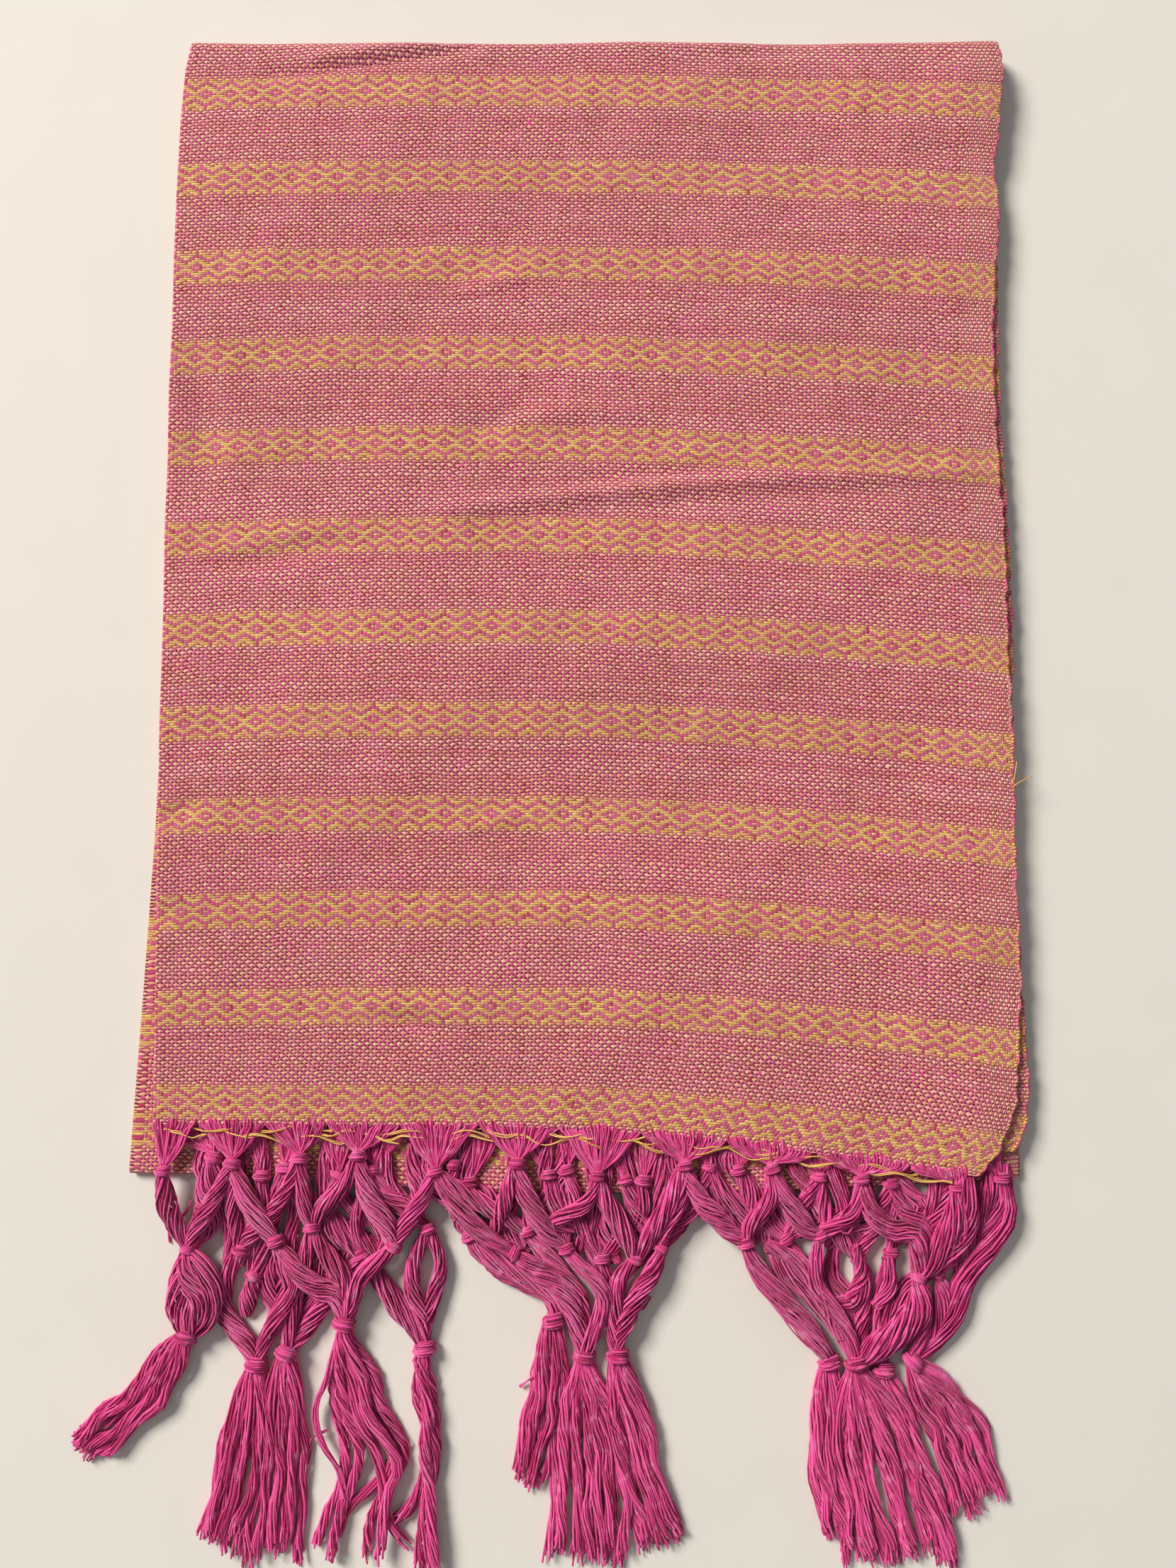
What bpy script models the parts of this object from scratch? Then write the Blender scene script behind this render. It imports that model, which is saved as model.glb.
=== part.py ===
# A rebozo shawl folded to an eighth: in half by width, in half by length, and in half again.
# It lies flat, with both fringed ends together at -Y, the lengthwise folds at -X, the selvedges
# at +X and the crosswise fold at +Y. The underside is flat and rests at Z = 0.

import math

import bmesh
import bpy

MM = 0.001

# Driving sizes, in millimetres
WALL = 1.0  # one layer of cloth
GAP = 0.3  # clearance where pieces lie on or against each other
FOLDED_WIDTH = 348.0  # half of the cloth's width
CREST_Y = 314.5  # outermost line of the crosswise fold
WOVEN_END_Y = -144.0  # where the weave stops and the fringe starts, at the lengthwise fold
END_DROOP = 18.0  # how far the wefts have slid towards -Y at the selvedge, at the woven end
DROOP_START = 0.45  # share of the width that stays straight
DROOP_CURVE = 1.6  # how sharply the rest bends away
CORNER_Y = -116.0  # the upper panel's corner at the selvedge rounds off from here on
NET_WALL = 1.4
FRINGE_FALL_Y = -178.0  # where the fringe leaves the stack and starts down to the surface
FRINGE_REST_Y = -196.0  # where it lies on the surface
UPPER_NET_REST = 1.7  # underside of the upper net and its knots, over the lower net
KNOT_REACH = 4.6  # from a tassel knot's middle to where its net begins
TASSEL_SETTLES = 0.45  # share of its length by which a tassel is down on the surface
TASSEL_SIDES = 10

PAIR = 2 * WALL + GAP  # two layers joined by a lengthwise fold
BLOCK = 2 * PAIR - GAP  # the four hidden layers at the bottom, as one solid
SECOND_BASE = BLOCK + GAP
TOP_BASE = SECOND_BASE + PAIR + GAP
STACK = TOP_BASE + PAIR
FOLD_RADIUS = STACK / 2  # outside of the crosswise fold
FOLD_CENTRE_Y = CREST_Y - FOLD_RADIUS

# Side edges of each panel, by distance along it: y, left x, right x
TOP_EDGES = (
    (312, -156.5, 191.5),
    (300, -158.5, 192.4),
    (270, -160.0, 187.5),
    (178, -160.5, 186.5),
    (43, -159.5, 186.0),
    (-72, -157.0, 185.5),
    (-116, -156.0, 182.0),
    (-125, -156.0, 178.5),
    (-135, -155.5, 174.5),
    (-144, -155.5, 165.5),
)
SECOND_EDGES = (
    (312, -156.0, 190.0),
    (270, -158.5, 188.5),
    (150, -159.0, 187.0),
    (108, -159.0, 188.5),
    (52, -158.5, 188.5),
    (0, -158.0, 185.5),
    (-72, -157.0, 186.5),
    (-120, -156.5, 188.5),
    (-144, -156.0, 187.5),
)
BLOCK_EDGES = (
    (312, -155.5, 189.0),
    (270, -158.0, 186.0),
    (178, -159.0, 185.5),
    (43, -159.5, 185.0),
    (-33, -161.0, 185.0),
    (-100, -163.5, 185.0),
    (-162, -166.0, 184.0),
)
BLOCK_END_Y = -162.0  # the block's own crosswise fold, at its left edge
BLOCK_END_SLOPE = -0.035  # how that fold slants across
BLOCK_SLANT_FADE = 120.0  # and how far along the block the slant is gone

# How far each hidden selvedge stands out beyond the block's edge line, bottom layer first
SELVEDGE_STEPS = (0.4, -0.8, 0.6, -0.3)
GROOVE = 2.4  # depth of the grooves between the layers' edges

# Tassels, left to right: which net each hangs from, its knot, its tip, and the width of its tip
TASSELS = (
    ("upper", -141, -223, -186, -267, 21.5),
    ("lower", -114, -234, -129, -300, 14.0),
    ("upper", -102, -229, -105, -314, 13.0),
    ("upper", -80, -218, -72, -305, 23.0),
    ("lower", -49, -228, -45, -313, 9.0),
    ("upper", 1, -217, -11, -282, 10.0),
    ("lower", 13, -231, 12, -306, 21.0),
    ("upper", 26, -230, 45, -300, 14.0),
    ("lower", 108, -233, 104, -300, 8.0),
    ("upper", 118, -233, 122, -306, 14.0),
    ("lower", 129, -236, 141, -313, 9.0),
    ("upper", 140, -232, 168, -290, 16.0),
)

# Each net's lower edge between its tassels: x and y of the open Vs, all past FRINGE_REST_Y
NET_VALLEYS = {
    "upper": ((-151, -199), (-122, -203), (-91, -203), (-40, -199), (13, -200), (74, -199),
              (129, -206), (152, -202)),
    "lower": ((-150, -199), (-86, -200), (-20, -199), (6, -207), (20, -207), (60, -199),
              (118, -204), (158, -199)),
}

# A tassel's outline: share of its length, width in mm, share of the tip's width, thickness
TASSEL_OUTLINE = (
    (-0.045, 3.2, 0.0, 2.0),
    (-0.02, 5.6, 0.0, 3.4),
    (0.03, 5.6, 0.0, 3.6),
    (0.07, 4.2, 0.0, 2.8),
    (0.20, 3.6, 0.30, 2.6),
    (0.50, 2.0, 0.60, 2.4),
    (0.82, 0.0, 0.95, 2.0),
    (1.00, 0.0, 1.00, 1.2),
)

ROSE_CLOTH = (0.52, 0.20, 0.18, 1.0)
ROSE_SHADE = (0.42, 0.14, 0.15, 1.0)
MAGENTA = (0.40, 0.05, 0.14, 1.0)


def between(table, y, column):
    """The table's value at y, in straight lines between its rows."""
    rows = sorted(table)
    y = min(max(y, rows[0][0]), rows[-1][0])
    for low, high in zip(rows, rows[1:]):
        if y <= high[0]:
            share = (y - low[0]) / (high[0] - low[0])
            return low[column] + share * (high[column] - low[column])
    return rows[-1][column]


def steps(start, end, count):
    return [start + (end - start) * i / count for i in range(count + 1)]


def droop(share, y):
    """How far a weft has slid towards -Y, at this share of the width."""
    slack = max(0.0, (share - DROOP_START) / (1 - DROOP_START))
    along = (CREST_Y - y) / (CREST_Y - WOVEN_END_Y)
    return END_DROOP * max(0.0, along) * slack**DROOP_CURVE


def panel_point(edges, across, y):
    """A point across a panel from its lengthwise fold, on the row that starts at this y."""
    left = between(edges, y, 1)
    right = between(edges, y, 2)
    share = across / FOLDED_WIDTH
    return left + share * (right - left), y - droop(share, y)


def new_object(name, points, faces, color):
    mesh = bpy.data.meshes.new(name)
    mesh.from_pydata([[c * MM for c in p] for p in points], [], faces)
    mesh.update()
    material = bpy.data.materials.new(name)
    material.use_nodes = True
    shader = material.node_tree.nodes["Principled BSDF"]
    shader.inputs["Base Color"].default_value = color
    shader.inputs["Roughness"].default_value = 0.85
    shader.inputs["Metallic"].default_value = 0.0
    mesh.materials.append(material)
    mesh.shade_smooth()
    mesh.set_sharp_from_angle(angle=math.radians(50))
    made = bpy.data.objects.new(name, mesh)
    bpy.context.scene.collection.objects.link(made)
    return made


def grid_faces(rows, columns):
    return [
        (r * columns + c, (r + 1) * columns + c, (r + 1) * columns + c + 1, r * columns + c + 1)
        for r in range(rows - 1)
        for c in range(columns - 1)
    ]


def ring_faces(rings, count):
    """Closed rings of points joined into a tube, with both ends capped."""
    faces = []
    for r in range(rings - 1):
        for c in range(count):
            d = (c + 1) % count
            faces.append((r * count + c, r * count + d, (r + 1) * count + d, (r + 1) * count + c))
    faces.append(tuple(reversed(range(count))))
    faces.append(tuple((rings - 1) * count + c for c in range(count)))
    return faces


def thicken(made, thickness):
    solidify = made.modifiers.new("Cloth thickness", "SOLIDIFY")
    solidify.thickness = thickness * MM
    solidify.offset = -1.0
    solidify.use_even_offset = True


def folded_pair(name, edges, base, turn, overhang, color):
    """Two layers joined by the lengthwise fold at -X, as one wall bent back on itself.

    turn is how far the pair goes round the crosswise fold, in degrees, and overhang is how
    much wider the upper layer is than the lower one at the selvedge.
    """
    bend = PAIR / 2
    section = [(a, PAIR) for a in steps(FOLDED_WIDTH, bend, 9)]
    for angle in steps(90, 270, 6)[1:-1]:
        turned = math.radians(angle)
        section.append((bend + bend * math.cos(turned), bend + bend * math.sin(turned)))
    section += [(a, 0.0) for a in steps(bend, FOLDED_WIDTH - overhang, 9)]

    inner = base - FOLD_RADIUS
    rows = steps(WOVEN_END_Y, CORNER_Y, 3)[:-1] + steps(CORNER_Y, FOLD_CENTRE_Y, 14)
    stations = [(y, base, 0.0) for y in rows]
    for angle in steps(0, turn, 5)[1:] if turn else ():
        turned = math.radians(angle)
        y = FOLD_CENTRE_Y + inner * math.sin(turned)
        stations.append((y, FOLD_RADIUS + inner * math.cos(turned), turned))
    points = []
    for y, z, turned in stations:
        for across, height in section:
            px, py = panel_point(edges, across, min(y, FOLD_CENTRE_Y))
            py += max(0.0, y - FOLD_CENTRE_Y) + height * math.sin(turned)
            points.append((px, py, z + height * math.cos(turned)))
    made = new_object(name, points, grid_faces(len(stations), len(section)), color)
    thicken(made, WALL)
    return made


def block_section():
    """The hidden layers' section: bottom, selvedge steps up +X, top, two rolled folds down -X.

    Each point is the side it belongs to, how far it stands out from that side, and its height.
    """
    layer = BLOCK / len(SELVEDGE_STEPS)
    corner = 0.2 * layer
    points = []
    for i, stand in enumerate(SELVEDGE_STEPS):
        low, high = i * layer, (i + 1) * layer
        if i > 0:
            points.append(("right", -GROOVE, low))
        points.append(("right", stand, low + corner if i > 0 else low))
        points.append(("right", stand, high - corner if i < len(SELVEDGE_STEPS) - 1 else high))
    radius = BLOCK / 4
    for angle in steps(90, -45, 3):
        turned = math.radians(angle)
        points.append(("left", radius * (math.cos(turned) - 1), radius * (3 + math.sin(turned))))
    points.append(("left", -GROOVE, BLOCK / 2))
    for angle in steps(45, -90, 3):
        turned = math.radians(angle)
        points.append(("left", radius * (math.cos(turned) - 1), radius * (1 + math.sin(turned))))
    return points


def block_stations():
    """Along the block: y, and the heights of its bottom and top. Both ends are rounded."""
    nose = BLOCK / 2
    stations = []
    for angle in steps(10, 90, 4):
        turned = math.radians(angle)
        rise = nose * math.sin(turned)
        stations.append((BLOCK_END_Y + nose * (1 - math.cos(turned)), nose - rise, nose + rise))
    stations += [(y, 0.0, BLOCK) for y in steps(BLOCK_END_Y + 8, FOLD_CENTRE_Y, 14)]
    for angle in (20, 40, 58, 72):
        turned = math.radians(angle)
        rise = FOLD_RADIUS * (1 - math.cos(turned))
        stations.append((FOLD_CENTRE_Y + FOLD_RADIUS * math.sin(turned), rise, BLOCK))
    return stations


def hidden_layers(name, color):
    """The four layers under the two upper pairs, as one solid with its edges layered."""
    section = block_section()
    stations = block_stations()
    points = []
    for y, low, high in stations:
        left = between(BLOCK_EDGES, y, 1)
        right = between(BLOCK_EDGES, y, 2)
        slant = BLOCK_END_SLOPE * max(0.0, 1 - (y - BLOCK_END_Y) / BLOCK_SLANT_FADE)
        for side, stand, height in section:
            x = right + stand if side == "right" else left - stand
            points.append((x, y + slant * (x - left), low + (high - low) * height / BLOCK))
    return new_object(name, points, ring_faces(len(stations), len(section)), color)


def fringe_net(name, which, edges, start, rest, color):
    """The knotted net below one woven end: a wall that comes to a V at each tassel's knot.

    Its underside is level at start on the stack, then slopes down to rest on the surface.
    """
    tips = [(row[1], row[2] + KNOT_REACH) for row in TASSELS if row[0] == which]
    low_line = sorted([*NET_VALLEYS[which], *tips])
    xs = [low_line[0][0]]
    for here, after in zip(low_line, low_line[1:]):
        xs += steps(here[0], after[0], 2)[1:]
    left = between(edges, WOVEN_END_Y, 1)
    right = between(edges, WOVEN_END_Y, 2)
    points = []
    for x in xs:
        across = (x - left) / (right - left) * FOLDED_WIDTH
        weave_y = panel_point(edges, across, WOVEN_END_Y)[1] - GAP
        low_y = between(low_line, x, 1)
        points += [(x, low_y, rest + NET_WALL), (x, (low_y + FRINGE_REST_Y) / 2, rest + NET_WALL)]
        points += [(x, FRINGE_REST_Y, rest + NET_WALL), (x, FRINGE_FALL_Y, start + NET_WALL)]
        points += [(x, weave_y, start + NET_WALL)]
    made = new_object(name, points, grid_faces(len(xs), 5), color)
    thicken(made, NET_WALL)
    return made


def tassel(name, knot_x, knot_y, tip_x, tip_y, tip_width, base, color):
    """A knotted bundle that spreads and flattens towards its cut ends."""
    length = math.hypot(tip_x - knot_x, tip_y - knot_y)
    ahead = ((tip_x - knot_x) / length, (tip_y - knot_y) / length)
    side = (-ahead[1], ahead[0])
    points = []
    for share, width, tip_share, thickness in TASSEL_OUTLINE:
        half = (width + tip_share * tip_width) / 2
        floor = base * min(1.0, max(0.0, 1 - share / TASSEL_SETTLES))
        for i in range(TASSEL_SIDES):
            turned = 2 * math.pi * (i + 0.5) / TASSEL_SIDES
            off = half * math.cos(turned)
            lift = thickness / 2 * (1 + math.sin(turned))
            points.append(
                (
                    knot_x + ahead[0] * share * length + side[0] * off,
                    knot_y + ahead[1] * share * length + side[1] * off,
                    floor + lift,
                )
            )
    return new_object(name, points, ring_faces(len(TASSEL_OUTLINE), TASSEL_SIDES), color)


def face_outwards(made):
    work = bmesh.new()
    work.from_mesh(made.data)
    bmesh.ops.recalc_face_normals(work, faces=work.faces)
    work.to_mesh(made.data)
    work.free()


def main():
    for old in list(bpy.data.objects):
        bpy.data.objects.remove(old, do_unlink=True)
    folded_pair("top_panel", TOP_EDGES, TOP_BASE, 90, 1.6, ROSE_CLOTH)
    folded_pair("second_panel", SECOND_EDGES, SECOND_BASE, 0, 2.2, ROSE_SHADE)
    face_outwards(hidden_layers("bottom_panels", ROSE_SHADE))
    fringe_net("upper_fringe_net", "upper", TOP_EDGES, TOP_BASE + GAP, UPPER_NET_REST, MAGENTA)
    fringe_net("lower_fringe_net", "lower", SECOND_EDGES, SECOND_BASE + GAP, 0.0, MAGENTA)
    for i, (which, knot_x, knot_y, tip_x, tip_y, tip_width) in enumerate(TASSELS):
        base = UPPER_NET_REST if which == "upper" else 0.0
        made = tassel(f"tassel_{i + 1:02d}", knot_x, knot_y, tip_x, tip_y, tip_width, base, MAGENTA)
        face_outwards(made)


main()
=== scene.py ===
import math

import bmesh
import bpy
import numpy as np
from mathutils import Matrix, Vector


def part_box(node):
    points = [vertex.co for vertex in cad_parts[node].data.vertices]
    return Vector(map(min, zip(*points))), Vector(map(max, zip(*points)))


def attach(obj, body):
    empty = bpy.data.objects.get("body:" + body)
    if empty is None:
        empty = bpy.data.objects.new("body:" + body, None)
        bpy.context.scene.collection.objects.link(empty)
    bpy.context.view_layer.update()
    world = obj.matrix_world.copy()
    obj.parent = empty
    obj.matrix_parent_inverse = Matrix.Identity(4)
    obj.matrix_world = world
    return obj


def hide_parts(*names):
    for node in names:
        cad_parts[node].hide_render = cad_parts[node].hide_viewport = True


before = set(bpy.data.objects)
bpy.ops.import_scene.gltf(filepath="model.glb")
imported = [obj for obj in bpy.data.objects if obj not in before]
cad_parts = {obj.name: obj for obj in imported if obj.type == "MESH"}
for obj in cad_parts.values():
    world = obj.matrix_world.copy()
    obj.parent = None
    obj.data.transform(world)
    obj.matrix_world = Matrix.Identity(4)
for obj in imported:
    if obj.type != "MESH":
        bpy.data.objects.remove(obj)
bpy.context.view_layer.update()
mm = 0.001
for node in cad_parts.values():
    node.data.materials.clear()

# The cloth's sizes in millimetres, the same as the frame's. Y runs along the warp.
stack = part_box("top_panel")[1].z / mm
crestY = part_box("top_panel")[1].y / mm
foldedWidth = 348.0
wovenEndY = -144.0
wall = 0.95
pair = 2.3
foldRadius = stack / 2
foldCentreY = crestY - foldRadius

slide = {  # how the wefts have slid towards the fringe on the selvedge side
    "startShare": 0.45,
    "curve": 1.6,
    "atEnd": 18.0,
    "atCrest": 5.5,
    "leftDrop": 2.3,
    "leftReach": 0.3,
    "endRise": 2.0,
    "riseReach": 0.8,
    "riseFrom": -105.0,
    "bow": 2.5,  # how far the picks bow towards the fringe, halfway down
    "bowFrom": -134.0,
    "bowLength": 425.0,
}

threads = {  # sizes of the weave
    "endPitch": 1.61,
    "selvedgeFrom": 335.0,
    "selvedgePitch": 1.0,
    "bandPicks": 15,
    "repeatPicks": 32,
    "bandPitch": 0.94,
    "plainPitch": 1.446,
    "lastBand": 8.9,
    "foldEnd": 216.0,  # number of the end that lies on the lengthwise fold
}


# Nodes for materials and for Geometry Nodes

class Value:
    def __init__(self, bench, socket):
        self.bench = bench
        self.socket = socket

    def join(self, operation, *others):
        given = dict(enumerate([self, *others]))
        return self.bench.value("ShaderNodeMath", {"operation": operation}, given)

    def __add__(self, other):
        return self.join("ADD", other)

    def __sub__(self, other):
        return self.join("SUBTRACT", other)

    def __mul__(self, other):
        return self.join("MULTIPLY", other)

    def __truediv__(self, other):
        return self.join("DIVIDE", other)

    def __rsub__(self, other):
        return self.bench.value("ShaderNodeMath", {"operation": "SUBTRACT"}, {0: other, 1: self})

    def __lt__(self, other):
        return self.join("LESS_THAN", other)

    def __gt__(self, other):
        return self.join("GREATER_THAN", other)

    __radd__ = __add__
    __rmul__ = __mul__

    def clamped(self, low=0.0, high=1.0):
        return self.join("MAXIMUM", low).join("MINIMUM", high)

    def eased(self, low, high):
        given = {"Value": self, "From Min": low, "From Max": high}
        return self.bench.value("ShaderNodeMapRange", {"interpolation_type": "SMOOTHSTEP"}, given)


class Bench:
    def __init__(self, tree):
        self.tree = tree

    def node(self, kind, settings=None, given=None):
        made = self.tree.nodes.new(kind)
        for name, value in (settings or {}).items():
            setattr(made, name, value)
        for key, value in (given or {}).items():
            if isinstance(value, Value):
                self.tree.links.new(value.socket, made.inputs[key])
            elif value is not None:
                made.inputs[key].default_value = value
        return made

    def value(self, kind, settings=None, given=None, output=0):
        return Value(self, self.node(kind, settings, given).outputs[output])

    def mixed(self, share, first, second, blend="MIX"):
        settings = {"data_type": "RGBA", "blend_type": blend}
        return self.value("ShaderNodeMix", settings, {0: share, 6: first, 7: second}, 2)

    def vector(self, operation, *parts):
        return self.value("ShaderNodeVectorMath", {"operation": operation}, dict(enumerate(parts)))

    def noise(self, where, scale, detail=2.0, rough=0.5):
        given = {"Vector": where, "Scale": scale, "Detail": detail, "Roughness": rough}
        return self.value("ShaderNodeTexNoise", {}, given)


def sRGB(red, green, blue):
    def linear(part):
        share = part / 255
        return share / 12.92 if share <= 0.04045 else ((share + 0.055) / 1.055) ** 2.4
    return (linear(red), linear(green), linear(blue), 1.0)


def newMaterial(name, constants):
    material = bpy.data.materials.new(name)
    material.use_nodes = True
    bench = Bench(material.node_tree)
    shader = material.node_tree.nodes["Principled BSDF"]
    for socket, value in constants.items():
        shader.inputs[socket].default_value = value
    return material, bench, shader


weaveLook = {
    "warp": sRGB(218, 102, 146),
    "warpDeep": sRGB(172, 50, 84),
    "slub": sRGB(222, 62, 138),
    "peach": sRGB(222, 160, 112),
    "peachPale": sRGB(240, 192, 152),
    "yellow": sRGB(200, 158, 60),
    "yellowPale": sRGB(230, 192, 102),
    # painted shade: the dark colour that stands for the shade between the threads and where they round away
    # under each other
    "paintedGapShade": sRGB(92, 8, 20),
    "lift": 0.42,  # how far each thread rises over the others and dips under them
    "weftBulge": 0.86,
    "warpBulge": 0.76,
    "weftWidth": 0.66,  # share of the pick that the weft fills where it dives, in plain weave
    "bandWidth": 0.9,  # and in the bands, where the picks are packed
    "weftSwell": 0.24,  # how much wider it is on top
    "warpWidth": 0.68,
    "warpSwell": 0.28,
    "strands": 0.45,  # how much each end shows that it is several strands
    "bandStands": 0.16,  # how far the weft stands over the warp in the bands
    "edgeStands": 0.22,  # and along the selvedge
    "gapDepth": 0.9,
    "relief": 0.0004,
    "wander": ((70.0, 1.3), (60.0, 1.5)),  # scale and size, in threads, of how ends and picks stray
    "tremor": ((330.0, 0.6), (330.0, 0.9)),
    "tone": {"least": 0.71, "broad": 0.30, "fine": 0.22},
}


def weaveMaterial():
    look = weaveLook
    constants = {"Sheen Weight": 0.25, "Sheen Roughness": 0.45, "Specular IOR Level": 0.22}
    material, bench, shader = newMaterial("woven cotton", constants)
    place = bench.value("ShaderNodeTexCoord", {}, {}, "Object")
    uv = bench.value("ShaderNodeUVMap", {"uv_map": "threads"})
    parts = bench.node("ShaderNodeSeparateXYZ", {}, {0: uv})
    (wanderEnds, wanderPicks), (tremorEnds, tremorPicks) = look["wander"], look["tremor"]
    asideWander = bench.vector("ADD", place, (3.0, 5.0, 1.0))
    asideTremor = bench.vector("ADD", place, (1.0, 4.0, 7.0))

    def strayed(number, where, amount):
        scale, size = amount
        return number + (bench.noise(where, scale) - 0.5) * size

    across = strayed(Value(bench, parts.outputs[0]), place, wanderEnds)
    across = strayed(across, place, tremorEnds)
    along = strayed(Value(bench, parts.outputs[1]), asideWander, wanderPicks)
    along = strayed(along, asideTremor, tremorPicks)
    end = across.join("FLOOR")
    pick = along.join("FLOOR")
    acrossEnd = across - end - 0.5
    acrossPick = along - pick - 0.5
    besideEnd = end + acrossEnd.join("SIGN")
    besidePick = pick + acrossPick.join("SIGN")
    repeat = threads["repeatPicks"]
    bandMiddle = (threads["bandPicks"] - 1) / 2

    def weftOver(thisEnd, thisPick):
        row = thisPick.join("FLOORED_MODULO", repeat)
        step = (row - bandMiddle).join("ABSOLUTE")
        fold = thisEnd.join("PINGPONG", 3.0)
        twill = (fold + step + 1.25).join("FLOORED_MODULO", 4.0) < 1.75
        plain = (thisEnd + thisPick + 0.25).join("FLOORED_MODULO", 2.0) > 1.0
        inTwill = step < 6.5
        return twill * inTwill + plain * (1.0 - inTwill)

    here = weftOver(end, pick) * 2.0 - 1.0
    nextAlongWeft = weftOver(besideEnd, pick) * 2.0 - 1.0
    nextAlongWarp = weftOver(end, besidePick) * 2.0 - 1.0
    weftTurn = acrossEnd.join("ABSOLUTE").eased(0.0, 0.5) * 0.5
    warpTurn = acrossPick.join("ABSOLUTE").eased(0.0, 0.5) * 0.5
    weftSide = here + (nextAlongWeft - here) * weftTurn
    warpSide = here + (nextAlongWarp - here) * warpTurn

    row = pick.join("FLOORED_MODULO", repeat)
    inBand = row < threads["bandPicks"] - 0.5

    def bulge(off):
        return (1.0 - off * off).join("MAXIMUM", 0.0).join("SQRT")

    weftWidth = inBand * (look["bandWidth"] - look["weftWidth"]) + look["weftWidth"]
    weftWidth = weftWidth + weftSide.join("ABSOLUTE") * look["weftSwell"]
    warpWidth = warpSide.join("ABSOLUTE") * look["warpSwell"] + look["warpWidth"]
    weftOff = acrossPick * 2.0 / weftWidth
    warpOff = acrossEnd * 2.0 / warpWidth
    weftRound = bulge(weftOff)
    strand = bulge((warpOff.join("FRACT") - 0.5) * 2.0)
    warpRound = bulge(warpOff) * (1 - look["strands"]) + strand * look["strands"]
    fromFold = (across - threads["foldEnd"]).join("ABSOLUTE")
    atEdge = fromFold > threads["selvedgeFrom"] / threads["endPitch"]
    weftStands = inBand * look["bandStands"] + atEdge * look["edgeStands"]
    weftHeight = weftSide * look["lift"] + weftRound * look["weftBulge"] + weftStands
    weftHeight = weftHeight - (weftOff.join("ABSOLUTE") > 1.0) * look["gapDepth"]
    warpHeight = warpRound * look["warpBulge"] - warpSide * look["lift"]
    warpHeight = warpHeight - (warpOff.join("ABSOLUTE") > 1.0) * look["gapDepth"]
    weftShows = ((weftHeight - warpHeight) * 6.0 + 0.5).clamped()
    height = weftHeight.join("MAXIMUM", warpHeight)

    perPick = bench.value("ShaderNodeTexWhiteNoise", {"noise_dimensions": "1D"}, {"W": pick})
    perEnd = bench.value("ShaderNodeTexWhiteNoise", {"noise_dimensions": "1D"}, {"W": end + 0.37})
    weftLine = bench.value("ShaderNodeCombineXYZ", {}, {0: across * 0.12, 1: pick * 3.1})
    warpLine = bench.value("ShaderNodeCombineXYZ", {}, {0: end * 3.7, 1: along * 0.1})
    weftTone = bench.noise(weftLine, 1.6, 3.0, 0.6)
    warpTone = bench.noise(warpLine, 1.6, 3.0, 0.6)
    bandStep = (row - bandMiddle).join("ABSOLUTE")
    nearLine = (bandStep.join("PINGPONG", 4.0) < 0.5) * inBand
    cell = bench.value("ShaderNodeCombineXYZ", {}, {0: end * 0.31, 1: pick * 0.83})
    perFloat = bench.noise(cell, 1.0, 1.0)
    yellow = bench.mixed(perPick * 0.5 + perFloat.eased(0.3, 0.7) * 0.5, look["yellow"], look["yellowPale"])
    peach = bench.mixed(perPick, look["peach"], look["peachPale"])
    weftColour = bench.mixed(inBand * (1.0 - nearLine * 0.35), peach, yellow)
    weftColour = bench.mixed(weftTone.eased(0.5, 0.72) * 0.5, weftColour, look["peachPale"])
    warpColour = bench.mixed(warpTone.eased(0.3, 0.75), look["warpDeep"], look["warp"])
    warpColour = bench.mixed(perEnd * 0.35, warpColour, look["warp"])
    warpColour = bench.mixed(warpTone.eased(0.62, 0.7), warpColour, look["slub"])
    weftColour = bench.mixed(weftTone.eased(0.62, 0.35) * 0.4, weftColour, look["warp"])
    colour = bench.mixed(weftShows, warpColour, weftColour)
    # painted shade: the colour darkens to the gap colour as a thread's height falls, so the rounded edges of
    # the threads and the gaps between them are painted dark
    depth = height.eased(-0.5, 0.74)
    paintedShade = bench.mixed(depth, look["paintedGapShade"], colour)
    broad = bench.noise(place, 9.0, 3.0)
    fine = bench.noise(place, 900.0)
    tone = broad * look["tone"]["broad"] + fine * look["tone"]["fine"] + look["tone"]["least"]
    toneColour = bench.value("ShaderNodeCombineXYZ", {}, {0: tone, 1: tone, 2: tone})
    colour = bench.mixed(1.0, paintedShade, toneColour, "MULTIPLY")
    fuzz = height + (fine - 0.5) * 0.25
    bump = bench.node("ShaderNodeBump", {}, {"Strength": 1.0, "Distance": look["relief"], "Height": fuzz})
    rough = 0.92 - weftShows * 0.12
    links = material.node_tree.links
    links.new(colour.socket, shader.inputs["Base Color"])
    links.new(rough.socket, shader.inputs["Roughness"])
    links.new(bump.outputs[0], shader.inputs["Normal"])
    return material


yarnLook = {
    "magenta": sRGB(236, 90, 160),
    "deep": sRGB(182, 34, 98),
    "pale": sRGB(242, 144, 190),
    "weftYellow": sRGB(216, 168, 72),
    "weftPale": sRGB(240, 200, 120),
    "peach": sRGB(222, 154, 116),
    "peachPale": sRGB(234, 180, 148),
    "patches": 220.0,
    "fibres": 2400.0,
    "twist": 1.6,  # millimetres of yarn to each turn of its ply
    "twistDepth": 0.14,
    "fibreDepth": 0.9,
    "relief": 0.00012,
}


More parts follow.
